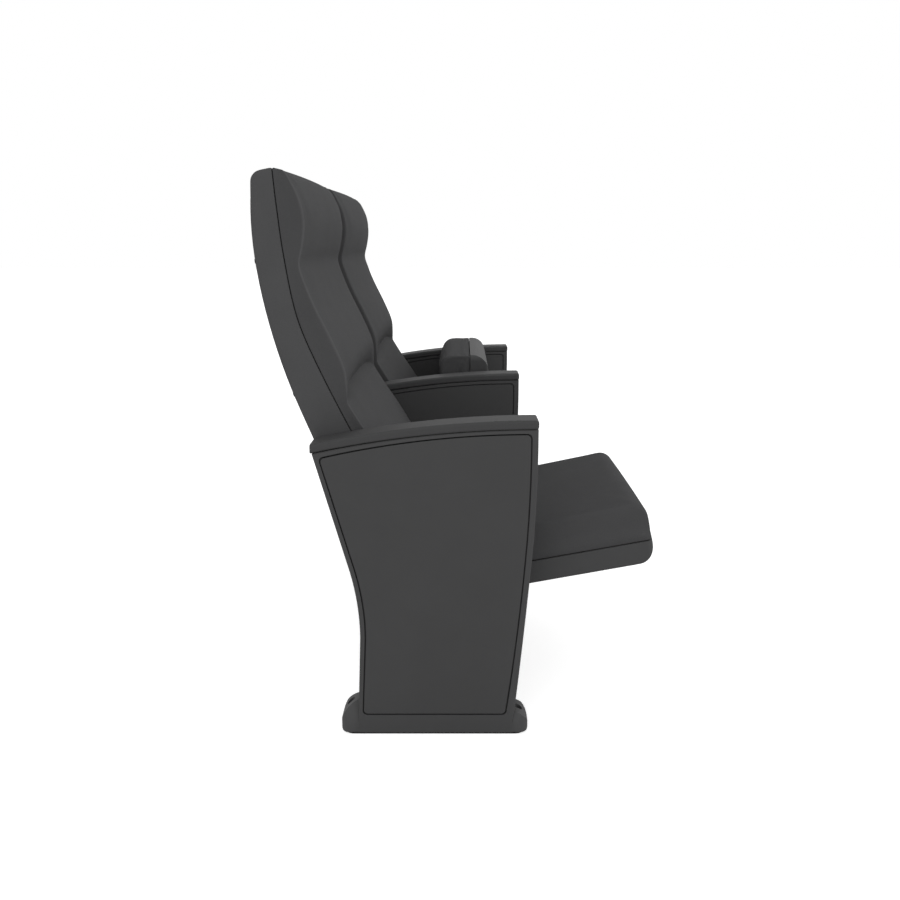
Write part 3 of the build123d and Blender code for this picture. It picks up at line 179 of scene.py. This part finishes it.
# %% [markdown]
# ## Finishes
#
# Everything on these seats is dark grey, so the finishes differ in their surface and
# hardly in their colour. Pictures of the surfaces would stretch and show seams, so each
# finish starts from one grey that a pattern varies, and gets a bump from noise, cells or
# threads at their real size.


# %% Finish helpers
def finish(name, grey, shares, roughness, build, metallic=0.0, specular=0.5):
    """A grey that a pattern varies between two shares of it, with a bump. The build function
    gives the pattern, the height, and the bump's depth in metres and its strength."""
    material = bpy.data.materials.new(name)
    tree, node = tree_of(material)
    shader = node("BsdfPrincipled", None, Roughness=roughness, Metallic=metallic)
    shader.inputs["Specular IOR Level"].default_value = specular
    node("OutputMaterial", None, Surface=shader.outputs[0])
    pattern, height, depth, strength = build(node, node("TexCoord").outputs)
    mix = node("Mix", {"data_type": "RGBA"}, Factor=pattern)
    for socket, share in ((6, shares[0]), (7, shares[1])):
        mix.inputs[socket].default_value = (*[part * share for part in grey], 1)
    tree.links.new(mix.outputs[2], shader.inputs["Base Color"])
    bump = node("Bump", None, Strength=strength, Distance=depth, Height=height)
    tree.links.new(bump.outputs[0], shader.inputs["Normal"])
    print("finish", name)
    return material


def noise_at(node, spot, per_metre, detail=2.0, rough=0.5):
    noise = node("TexNoise", None, Vector=spot, Scale=per_metre, Detail=detail, Roughness=rough)
    return noise.outputs["Fac"]


# %% [markdown]
# ## Powder coat
#
# The cast standards wear a powder coat. It melts in the oven to a fine orange peel, which
# is small noise. Both ends of the feet get painted light: they are paler, as their sloping
# wings would catch more of the lamps. This could be painted by hand, but on a known shape
# its place is simply a range of heights and distances from the middle.

# %% Powder coat
# Where the feet get painted light, paler at both sloping ends
WING_LIGHT_FROM, WING_LIGHT_FULL, WING_LIGHT_TOP = 0.14, 0.158, 0.075  # metres from the middle, and up
WING_LIGHT_SHARE, CLOUD_SHARE = 0.37, 0.33


def powder(node, place):
    """Orange peel with slow clouds, and with painted light on both ends of the feet."""
    spot = place["Object"]
    cloud = noise_at(node, spot, 9.0, 3.0)
    peel = noise_at(node, spot, 1400.0)
    parts = node("SeparateXYZ", None, Vector=spot).outputs
    away = math_of(node, "ABSOLUTE", parts[0])
    ends = node("MapRange", {"interpolation_type": "SMOOTHSTEP"},
                Value=away, From_Min=WING_LIGHT_FROM, From_Max=WING_LIGHT_FULL).outputs[0]
    low = math_of(node, "LESS_THAN", parts[2], WING_LIGHT_TOP)
    # painted light on the feet's ends, where the sloping wings would catch the lamps
    painted_wing_light = math_of(node, "MULTIPLY", math_of(node, "MULTIPLY", ends, low), WING_LIGHT_SHARE)
    return math_of(node, "MULTIPLY_ADD", cloud, CLOUD_SHARE, painted_wing_light), peel, 0.00012, 0.35


coat = finish("powder_coat", (0.051, 0.051, 0.0518), (0.92, 1.4), 0.55, powder, specular=0.25)
black_steel = finish("black_steel", (0.016, 0.016, 0.0165), (0.85, 1.15), 0.4, powder,
                     specular=0.35)

# %% [markdown]
# ## Moulded plastic and rubber
#
# The side panels, the seat shells and the back panels come out of a mould with a leather
# grain, which is made of soft cells. The armrests are satin, with only a faint noise. The
# groove round a side panel gets painted shade. A dark line could be drawn there, but
# asking how much open sky a point sees finds the groove by itself.

# %% Moulded plastic
GROOVE_SHADE_REACH, GROOVE_SHADE_POWER = 0.008, 6.0
PANEL_EVEN, PANEL_CLOUD = 0.82, 0.12


def grained(node, place):
    """Soft cells of a leather grain, with clouds."""
    cloud = noise_at(node, place["Object"], 14.0, 4.0)
    cells = node("TexVoronoi", {"feature": "SMOOTH_F1"}, Vector=place["Object"], Scale=900.0,
                 Smoothness=0.4)
    return cloud, cells.outputs["Distance"], 0.0001, 0.4


def grooved(node, place):
    """The same leather grain, with painted shade in the groove round the panel."""
    cloud, cells, depth, strength = grained(node, place)
    # painted shade: the less open sky a point sees, the darker its colour
    sky = node("AmbientOcclusion", {"samples": 8}, Distance=GROOVE_SHADE_REACH).outputs["AO"]
    painted_groove_shade = math_of(node, "POWER", sky, GROOVE_SHADE_POWER)
    even = math_of(node, "MULTIPLY_ADD", cloud, PANEL_CLOUD, PANEL_EVEN)
    return math_of(node, "MULTIPLY", even, painted_groove_shade), cells, depth, strength


def satin(node, place):
    """A faint fine noise."""
    cloud = noise_at(node, place["Object"], 11.0, 3.0)
    return cloud, noise_at(node, place["Object"], 2200.0), 0.00006, 0.25


panel_grain = finish("panel_grain", (0.049, 0.049, 0.0496), (0.0, 1.14), 0.65, grooved,
                     specular=0.25)
shell_grain = finish("shell_grain", (0.0545, 0.0545, 0.0553), (0.93, 1.07), 0.6, grained,
                     specular=0.2)
arm_satin = finish("armrest_satin", (0.052, 0.052, 0.0528), (0.94, 1.06), 0.6, satin,
                   specular=0.15)
black_plastic = finish("black_plastic", (0.012, 0.012, 0.0125), (0.9, 1.1), 0.45, satin,
                       specular=0.3)
nylon_finish = finish("nylon", (0.6, 0.59, 0.55), (0.96, 1.0), 0.5, satin)
black_rubber = finish("black_rubber", (0.011, 0.011, 0.011), (0.85, 1.15), 0.85, grained,
                      specular=0.2)

# %% [markdown]
# ## Bare metal and plywood
#
# Shafts, screws and springs are turned or drawn, and a tool leaves fine rings on them.
# The boards behind the pads are plywood, whose plies show as bands at the edge. Waves
# with a little distortion give both, where straight stripes would look printed.


# %% Bare metal and plywood
def turned(node, place):
    """The rings of a tool round an axis across the row."""
    rings = node("TexWave", {"bands_direction": "Y"}, Vector=place["Object"], Scale=900.0,
                 Distortion=1.0, Detail=2.0)
    return noise_at(node, place["Object"], 60.0, 3.0), rings.outputs["Fac"], 0.00002, 0.2


def plies(node, place):
    """The uneven bands of plywood."""
    bands = node("TexWave", {"bands_direction": "Z"}, Vector=place["Object"], Scale=30.0,
                 Distortion=4.0, Detail=4.0).outputs["Fac"]
    return bands, bands, 0.0001, 0.3


shaft_steel = finish("shaft_steel", (0.42, 0.42, 0.43), (0.9, 1.05), 0.3, turned, metallic=1.0)
spring_steel = finish("spring_steel", (0.2, 0.2, 0.21), (0.9, 1.1), 0.3, turned, metallic=1.0)
screw_steel = finish("screw_steel", (0.014, 0.014, 0.0145), (0.9, 1.1), 0.35, turned,
                     specular=0.4)
plywood = finish("stained_plywood", (0.03, 0.024, 0.02), (0.7, 1.2), 0.7, plies, specular=0.2)

# %% [markdown]
# ## Woven cloth
#
# The covers are a plain weave, with threads that go over and under each other. Modelled
# threads would be millions of faces, so two sine waves cross on the piece's own map,
# which is in metres, and noise makes the yarn uneven. The piece says in an attribute
# where the cloth gets a painted highlight along its edges and painted shade on its sides.

# %% Woven cloth
THREAD_PITCH = 0.0009
YARN_SHARE = 0.35
CLOTH_BASE, PAINTED_LIGHT_SHARE, PATTERN_SHARE = 0.27, 0.22, 0.15


def woven(node, place):
    """Crossing threads with uneven yarn, clouds and flecks."""
    parts = node("SeparateXYZ", None, Vector=place["UV"]).outputs
    turns = 2 * math.pi / THREAD_PITCH
    warp, weft = [
        math_of(node, "SINE", math_of(node, "MULTIPLY", parts[axis], turns)) for axis in (0, 1)
    ]
    cross = math_of(node, "MULTIPLY", warp, weft)
    yarn = noise_at(node, place["UV"], 700.0, 3.0)
    height = math_of(node, "MULTIPLY_ADD", cross, YARN_SHARE, yarn)
    cloud = noise_at(node, place["Object"], 13.0, 5.0, 0.6)
    flecks = noise_at(node, place["UV"], 420.0)
    # painted highlight along the pad's edges and painted shade on its sides, from the piece's attribute
    paling = node("Attribute", {"attribute_name": "paling"}).outputs["Fac"]
    shade = math_of(node, "MULTIPLY_ADD", paling, PAINTED_LIGHT_SHARE, CLOTH_BASE)
    for pattern in (cloud, flecks):
        shade = math_of(node, "MULTIPLY_ADD", pattern, PATTERN_SHARE, shade)
    return shade, height, 0.0002, 0.45


back_cloth = finish("woven_cloth", (0.075, 0.075, 0.0765), (0.5, 1.7), 1.0, woven,
                    specular=0.06)
# Painted shade: the seat's cover is the back's cloth made darker.
shaded_seat_cloth = finish("shaded_seat_cloth", (0.066, 0.066, 0.0674), (0.5, 1.7), 1.0, woven,
                    specular=0.06)

# %% [markdown]
# ## The rigid pieces
#
# Each rigid piece names the slot of its material, so one table gives all of them their
# finishes. Their meshes are already right and are left alone.

# %% Give the rigid pieces their finishes
FINISH_OF_SLOT = {
    "upholstery": back_cloth,
    "standard_casting": coat,
    "side_panel": panel_grain,
    "armrest": arm_satin,
    "seat_pan": shell_grain,
    "back_panel": shell_grain,
    "plywood": plywood,
    "steel_frame": black_steel,
    "steel_shaft": shaft_steel,
    "fastener": screw_steel,
    "spring_steel": spring_steel,
    "nylon": nylon_finish,
    "cover": black_plastic,
    "rubber": black_rubber,
}
for part in frame["record"]["subparts"]:
    shown = frame["nodes"][part["node"]]
    shown.data.materials.clear()
    shown.data.materials.append(FINISH_OF_SLOT[part["material_slot"]])

# %% [markdown]
# ## The lines of the back
#
# Each seat has three pads: the seat cushion in its pan, the front cushion of the back,
# and the rear pad that is sewn to it along a seam down the side. In a side view the back
# is three lines: the front of the cushion, the seam, and the rear. A few measured points
# and a smooth curve through them are easier to correct than a sculpted surface.

# %% Side view lines, bottom to top, in millimetres
FRONT_LOWER = [
    (-42, 374), (-40, 400), (-47, 448), (-71, 499), (-99.5, 546), (-128, 587), (-153, 627),
]
FRONT_UPPER = [
    (-153, 627), (-151.5, 655), (-155, 691), (-177, 745), (-204, 800), (-225, 850),
    (-233.5, 879), (-225.5, 907), (-219.5, 947), (-223, 980), (-235, 1013), (-254, 1043),
]
SEAM_LINE = [
    (-76, 352), (-84, 425), (-113, 499), (-155, 578), (-216.5, 707), (-246.5, 787),
    (-265.5, 892), (-275, 978), (-280.5, 1047),
]
REAR_LINE = [
    (-163, 352), (-168, 390), (-190, 470), (-225, 562), (-254, 633), (-295, 763),
    (-317.5, 885), (-321.5, 980), (-320, 1040),
]


# %% Smooth line helper
def smooth_line(points):
    """Gives a smooth line's length and the function that finds its point at a share of it."""
    points = [Vector(point) for point in points]
    marks = [0.0]
    for before, after in zip(points, points[1:]):
        marks.append(marks[-1] + (after - before).length)
    slopes = []
    for i in range(len(points)):
        low, high = max(i - 1, 0), min(i + 1, len(points) - 1)
        slopes.append((points[high] - points[low]) / (marks[high] - marks[low]))

    def point_at(share):
        run = min(max(share, 0.0), 1.0) * marks[-1]
        i = max(k for k in range(len(points) - 1) if marks[k] <= run)
        gap = marks[i + 1] - marks[i]
        u = (run - marks[i]) / gap
        ahead = u * u * (3 - 2 * u)
        leave = u * (1 - u) ** 2 * gap
        arrive = -u * u * (1 - u) * gap
        straight = points[i] * (1 - ahead) + points[i + 1] * ahead
        return straight + slopes[i] * leave + slopes[i + 1] * arrive

    return marks[-1], point_at


# %% Smooth lines
lower_length, lower_at = smooth_line(FRONT_LOWER)
upper_length, upper_at = smooth_line(FRONT_UPPER)
seam_length, seam_at = smooth_line(SEAM_LINE)
rear_length, rear_at = smooth_line(REAR_LINE)
front_length = lower_length + upper_length
KINK = lower_length / front_length  # the front line bends sharply under the lumbar roll


def front_at(share):
    return lower_at(share / KINK) if share <= KINK else upper_at((share - KINK) / (1 - KINK))


for line, run in (("front", front_length), ("seam", seam_length), ("rear", rear_length)):
    print(line, "line", round(run), "mm")

# %% [markdown]
# ## From a cube to a pad
#
# A foam pad could be a rounded box, a sculpted mesh or a sheet that is blown up. Here each
# one starts as a cube whose faces are cut into a grid, because a grid keeps the rows of the
# cover straight. The rows crowd towards the edges, where the shape turns quickly. Each
# vertex is rounded as on a box first, and then goes to its place on the real form. A last
# short cloth run lets the cover stand off the foam a little, as real cloth does.


# %% Grid helpers
def grid_block(cuts):
    """A cube from -1 to 1, with its faces cut so many times along each axis."""
    bm = bmesh.new()
    bmesh.ops.create_cube(bm, size=2)
    for axis, count in enumerate(cuts):
        along = [
            edge for edge in bm.edges
            if abs(edge.verts[0].co[axis] - edge.verts[1].co[axis]) > 1e-6
        ]
        bmesh.ops.subdivide_edges(bm, edges=along, cuts=count, use_grid_fill=True)
    return bm


ALONG_CROWD, ROW_CROWD, END_CROWD, UP_CROWD = 0.8, 0.7, 0.85, 0.6


def crowded(share, amount):
    """Moves a share from -1 to 1 towards the nearer end, for a finer grid at the edges."""
    return share * (1 - amount) + math.sin(share * math.pi / 2) * amount


def eased(share):
    """Goes from 0 to 1 with soft ends."""
    share = min(max(share, 0.0), 1.0)
    return share * share * (3 - 2 * share)


# %% Rounding helper
def rounded(spot, low, high, corners, edge_r):
    """Rounds a point of a box's surface: its side view has four corners with their own radii
    (low and high x at the foot, then at the top), and the edges of its two ends have edge_r."""
    x, y, z = spot
    at_top, at_front = z > (low[2] + high[2]) / 2, x > (low[0] + high[0]) / 2
    r = max(corners[2 * at_top + at_front], edge_r)
    core_x = min(max(x, low[0] + r), high[0] - r)
    core = Vector((core_x, min(max(z, low[2] + r), high[2] - r)))
    over = Vector((x, z)) - core
    if over.length > 0:
        over = over.normalized() * max(abs(over.x), abs(over.y))
    reach = r - edge_r
    inner = core + (over if over.length <= reach else over.normalized() * reach)
    side = min(max(y, low[1] + edge_r), high[1] - edge_r)
    out, aside = core + over - inner, y - side
    full = math.hypot(out.length, aside)
    scale = max(out.length, abs(aside)) / full if full > 0 else 1
    return inner.x + out.x * scale, side + aside * scale, inner.y + out.y * scale


# %% Piece helper
def as_piece(bm, name, flat_of, cloth):
    """Makes the bmesh an object, with a map in metres along the cover that flat_of gives."""
    if bm.calc_volume(signed=True) < 0:  # a pad that grows backwards is a cube inside out
        bmesh.ops.reverse_faces(bm, faces=bm.faces)
    bm.normal_update()
    print(name, "holds", round(bm.calc_volume(signed=True) * 1000, 1), "litres")
    layer = bm.loops.layers.uv.new("cover")
    for face in bm.faces:
        for loop in face.loops:
            loop[layer].uv = flat_of(face, loop.vert)
        face.smooth = True
    mesh = bpy.data.meshes.new(name)
    bm.to_mesh(mesh)
    bm.free()
    mesh.materials.append(cloth)
    piece = bpy.data.objects.new(name, mesh)
    bpy.context.scene.collection.objects.link(piece)
    return piece


# %% Cloth helper
PUFF_MOMENTS, PUFF_CAP = 20, 0.002  # frames of the run, and metres that are kept of it


def puffed(piece, held, pressure):
    """Blows the cover up as cloth for a moment, held at some vertices, and keeps a little."""
    before = [vertex.co.copy() for vertex in piece.data.vertices]
    group = piece.vertex_groups.new(name="held")
    group.add(held, 1.0, "REPLACE")
    cloth = piece.modifiers.new("cloth", "CLOTH")
    cloth.settings.use_pressure = True
    cloth.settings.uniform_pressure_force = pressure
    cloth.settings.vertex_group_mass = "held"
    cloth.settings.effector_weights.gravity = 0
    cloth.collision_settings.use_collision = False
    scene = bpy.context.scene
    for moment in range(1, PUFF_MOMENTS + 1):
        scene.frame_set(moment)
    blown = piece.evaluated_get(bpy.context.evaluated_depsgraph_get()).data
    after = [vertex.co.copy() for vertex in blown.vertices]
    piece.modifiers.clear()
    piece.vertex_groups.clear()
    scene.frame_set(1)
    most = 0.0
    for vertex, start, end in zip(piece.data.vertices, before, after):
        step = end - start
        most = max(most, step.length)
        if step.length > PUFF_CAP:
            step.length = PUFF_CAP
        vertex.co = start + step
    print(piece.name, "moved", round(most * 1000, 1), "mm at most, kept", PUFF_CAP * 1000)


# %% Seats helper
SEAT_PITCH = 0.58
SEATS = {"1": (-SEAT_PITCH / 2, 10.5), "2": (SEAT_PITCH / 2, 90.0)}  # middle, tilt at rest


def copies_of(first, names, place_of, body_of, node_of):
    """Puts a pad in each seat, softens its mesh by one level, hangs it on its body and hides
    the frame's node in its place.
    """
    for seat, name in names.items():
        piece = bpy.data.objects.new(name, first.data.copy())
        piece.data.transform(place_of(seat))
        bpy.context.scene.collection.objects.link(piece)
        soft = piece.modifiers.new("soft", "SUBSURF")
        soft.levels = soft.render_levels = 1
        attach(piece, body_of(seat))
        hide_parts(node_of(seat))
        print(name, "rides on", body_of(seat))
    bpy.data.objects.remove(first)


# %% [markdown]
# ## The pads of the back
#
# Both pads of the back start at the seam and grow from there, the front one to the front
# line and the rear one to the rear line, so one function makes both. The cover of the
# front pad sinks into a fold under the lumbar roll, which arches down towards both ends,
# and gets a painted highlight along its edges and painted shade on its sides. The rear pad
# has a shallow bed for the hard panel. The fold could be left to the cloth run, but cloth
# folds where it likes and not where the real cover does.

# %% Back pad sizes, in millimetres
MM = 0.001  # the scene is in metres
BACK_HALF = 253.0
BACK_CUTS = (8, 56, 108)  # through the pad, across the back and up it
SEAM_GAP, SEAM_EDGE = 0.7, 1.5  # the sewn edge stands off the seam and has its own radius
FOLD_RISE, FOLD_END = 23.0, 4.0  # how far the fold lies above the kink, and at both ends
FOLD_ABOVE, FOLD_SQUARE = 58.0, 10  # how far it reaches up, and how late it fades at the ends
THIN_PAD = 40  # a pad that is thinner has less of a crown
TOP_FROM, TOP_RUN, TOP_DROP = 0.88, 0.12, 2  # the top's ends hang a little
BED_HALF, BED_FOOT, BED_TOP = 236, 14, 44  # the bed of the hard panel, from ends, foot and top
BED_SIDE, BED_STEP = 5, 6  # width of the bed's slopes
EDGE_HIGHLIGHT, HIGHLIGHT_FROM, HIGHLIGHT_OVER = 0.6, 1.2, 2.6  # painted highlight: the cloth along an edge is paler
SHADED_SIDE, SIDE_FROM = -0.55, 2.5  # painted shade: the sewn side panel is darker
HELD_DEPTH, HELD_FOOT = 4, 8  # the cloth run holds what is so near to the seam and the foot


def run_of_row(height, row, valley):
    """The share of the line at a row of the grid: rows crowd at both ends and at the fold."""
    if height <= row + 1e-6:
        return valley * (1 + crowded(height / row * 2 - 1, ROW_CROWD)) / 2
    above = (height - row) / (1 - row) * 2 - 1
    return valley + (1 - valley) * (1 + crowded(above, ROW_CROWD)) / 2


def fold_at(above, edge):
    """How deep the cover lies in the fold, from 0 to 1, at a height above its middle."""
    arch = (FOLD_RISE - FOLD_END) * edge ** 3
    apart = above + arch
    if apart > 0:
        return max(1 - apart / FOLD_ABOVE, 0) ** 2
    return max(1 + apart / (FOLD_RISE - arch), 0)


def bed_at(aside, height, length):
    """How much of the bed for the hard panel is here, from 0 to 1."""
    across = 1 - eased((abs(aside) - BED_HALF) / BED_SIDE)
    return min(across, eased((height - BED_FOOT) / BED_STEP),
               eased((length - BED_TOP - height) / BED_STEP))


def paling_at(from_end, from_front, on_end):
    """The painted highlight at the pad's edges and the painted shade on its sewn sides,
    by the distance from the pad's end and from its front.
    """
    if on_end and from_front > SIDE_FROM:
        return SHADED_SIDE
    return EDGE_HIGHLIGHT * eased(1 - (max(from_end, from_front) - HIGHLIGHT_FROM) / HIGHLIGHT_OVER)


# %% Back pad
def back_pad(name, outer_at, length, edge_r, corners, crown=0.0, fold=0.0, bed=0.0):
    """A pad between the seam line and an outer line, and the vertices that the cloth run holds."""
    bm = grid_block(BACK_CUTS)
    paling = bm.verts.layers.float.new("paling")
    flat, held = {}, []
    valley = KINK + FOLD_RISE / length
    rows = BACK_CUTS[2] + 1
    row = round(valley * rows) / rows
    for vertex in bm.verts:
        out = (1 + crowded(vertex.co.x, ALONG_CROWD)) / 2
        along = run_of_row((vertex.co.z + 1) / 2, row, valley)
        thick = (outer_at(along) - seam_at(along)).length
        across = crowded(vertex.co.y, END_CROWD) * BACK_HALF
        spot = (SEAM_GAP + out * (thick - SEAM_GAP), across, along * length)
        r = SEAM_EDGE + (min(edge_r, 0.45 * thick) - SEAM_EDGE) * eased(out)
        low, high = (SEAM_GAP, -BACK_HALF, 0), (thick, BACK_HALF, length)
        depth, aside, height = flat[vertex.index] = rounded(spot, low, high, corners, r)
        share = height / length
        edge = abs(aside) / BACK_HALF
        way = outer_at(share) - seam_at(share)
        depth -= out * min(way.length / THIN_PAD, 1.0) * crown * edge ** 2
        if out > 0.9:
            depth -= bed * bed_at(aside, height, length)
        place = seam_at(share) + way.normalized() * depth
        if fold:
            sunk = fold_at((share - valley) * length, edge)
            place.x -= fold * sunk * (1 - edge ** FOLD_SQUARE) * eased(out * 1.6 - 0.6)
            # painted highlight along the edges and painted shade on the sewn sides
            on_end = abs(vertex.co.y) > 0.999
            vertex[paling] = paling_at(BACK_HALF - abs(across), thick - spot[0], on_end)
        place.y -= eased((share - TOP_FROM) / TOP_RUN) * TOP_DROP * edge ** 2
        if depth < SEAM_GAP + HELD_DEPTH or height < HELD_FOOT or bed:
            held.append(vertex.index)
        vertex.co = (place.x * MM, aside * MM, place.y * MM)

    def flat_of(face, vertex):
        depth, aside, height = flat[vertex.index]
        across = depth if abs(face.normal.y) > 0.75 else aside
        return (across * MM, (depth if abs(face.normal.z) > 0.9 else height) * MM)

    return as_piece(bm, name, flat_of, back_cloth), held


# %% Back cushions and rear pads
BACK_PRESSURE = 2.0


def beside(seat):
    return Matrix.Translation((0, SEATS[seat][0], 0))


back, held = back_pad("back_form", front_at, front_length, edge_r=5.5, corners=(2, 8, 3, 8),
                      crown=5.0, fold=20.0)
puffed(back, held, BACK_PRESSURE)
copies_of(back, {"1": "back_pad_cover_1", "2": "back_pad_cover_2"}, beside,
          lambda seat: "row", lambda seat: "back_cushion_" + seat)
rear, _ = back_pad("rear_form", rear_at, rear_length, edge_r=8.0, corners=(2, 8, 3, 16),
                    bed=2.6)
copies_of(rear, {"1": "rear_pad_cover_1", "2": "rear_pad_cover_2"}, beside,
          lambda seat: "row", lambda seat: "back_rear_pad_" + seat)

# %% [markdown]
# ## The seat cushion
#
# The seat cushion is a block of foam with a wide soft roll round its top and an almost
# square foot that sits in the pan. Its grid is rounded like the back's, but the radius is
# large at the top and small at the seam, and the front wall stands a little proud. It is
# made in the seat's own frame, with the hinge at the origin, and then tilted into place,
# because a piece that is drawn tilted is hard to measure.

# %% Seat cushion sizes, in millimetres
SEAT_CUTS = (58, 44, 14)
SEAT_HALF, SEAT_FRONT, SEAT_REAR = 219.5, 350.5, -94.0
SEAM_Z, CUSHION_THICK = 3.2, 78.5
CUSHION_CROWN, REAR_DROP, NOSE = 3.0, 9.5, 3.5
TOP_ROLL, EDGE_FOOT, EDGE_TOP = (2, 2, 26, 29), 2, 9
NOSE_RUN, ROLL_RUN = 60, 34  # the nose's reach back from the front, and where the top drops
SEAT_HELD = 0.1  # the cloth run holds this share of the height, which sits in the pan
TUBE_ROOM, TUBE_FROM, TUBE_EASE = 28.0, 100, 12  # room over the hinge's tubes at both sides


# %% Seat cushion form
def seat_form():
    """The seat cushion in the seat's own frame, and the vertices that the cloth run holds."""
    bm = grid_block(SEAT_CUTS)
    flat, held = {}, []
    length = SEAT_FRONT - SEAT_REAR
    low, high = (SEAT_REAR, -SEAT_HALF, 0), (SEAT_FRONT, SEAT_HALF, CUSHION_THICK)
    for vertex in bm.verts:
        along = (1 + crowded(vertex.co.x, ALONG_CROWD)) / 2
        up = (1 + crowded(vertex.co.z, UP_CROWD)) / 2
        across = crowded(vertex.co.y, END_CROWD) * SEAT_HALF
        spot = (SEAT_REAR + along * length, across, up * CUSHION_THICK)
        edge_r = EDGE_FOOT + (EDGE_TOP - EDGE_FOOT) * eased(up)
        x, y, z = flat[vertex.index] = rounded(spot, low, high, TOP_ROLL, edge_r)
        middle = 1 - (y / SEAT_HALF) ** 2
        lift = z / CUSHION_THICK
        back = min(max((SEAT_FRONT - ROLL_RUN - x) / (length - ROLL_RUN), 0.0), 1.0)
        z += lift * (CUSHION_CROWN * middle - REAR_DROP * back ** 0.8)
        proud = NOSE * (0.8 + 0.2 * middle) * math.sin(math.pi * lift ** 0.85)
        x += proud * eased((x - SEAT_FRONT + NOSE_RUN) / NOSE_RUN)
        channel = max(TUBE_ROOM ** 2 - x * x, 0.0) ** 0.5 - SEAM_Z
        if abs(y) > TUBE_FROM and channel > 0:
            channel *= eased((abs(y) - TUBE_FROM) / TUBE_EASE)
            z = channel + z * (CUSHION_THICK - channel) / CUSHION_THICK
        if lift < SEAT_HELD:
            held.append(vertex.index)
        vertex.co = (x * MM, y * MM, (z + SEAM_Z) * MM)

    def flat_of(face, vertex):
        x, y, z = flat[vertex.index]
        if abs(face.normal.z) > 0.6:
            return (y * MM, x * MM)
        if abs(face.normal.x) > 0.6:
            return (y * MM, (SEAT_FRONT + CUSHION_THICK - z) * MM)
        return (z * MM, x * MM)

    return as_piece(bm, "seat_form", flat_of, shaded_seat_cloth), held


# %% Seat cushions
SEAT_PRESSURE = 2.5
HINGE = Vector(frame["joints"][0]["pos_m"])


def tilted(seat):
    middle, tilt = SEATS[seat]
    turn = Matrix.Rotation(-math.radians(tilt), 4, "Y")
    return Matrix.Translation((HINGE.x, middle, HINGE.z)) @ turn


cushion, held = seat_form()
puffed(cushion, held, SEAT_PRESSURE)
copies_of(cushion, {"1": "seat_pad_cover_1", "2": "seat_pad_cover_2"}, tilted,
          lambda seat: "seat_" + seat, lambda seat: "seat_cushion_" + seat)
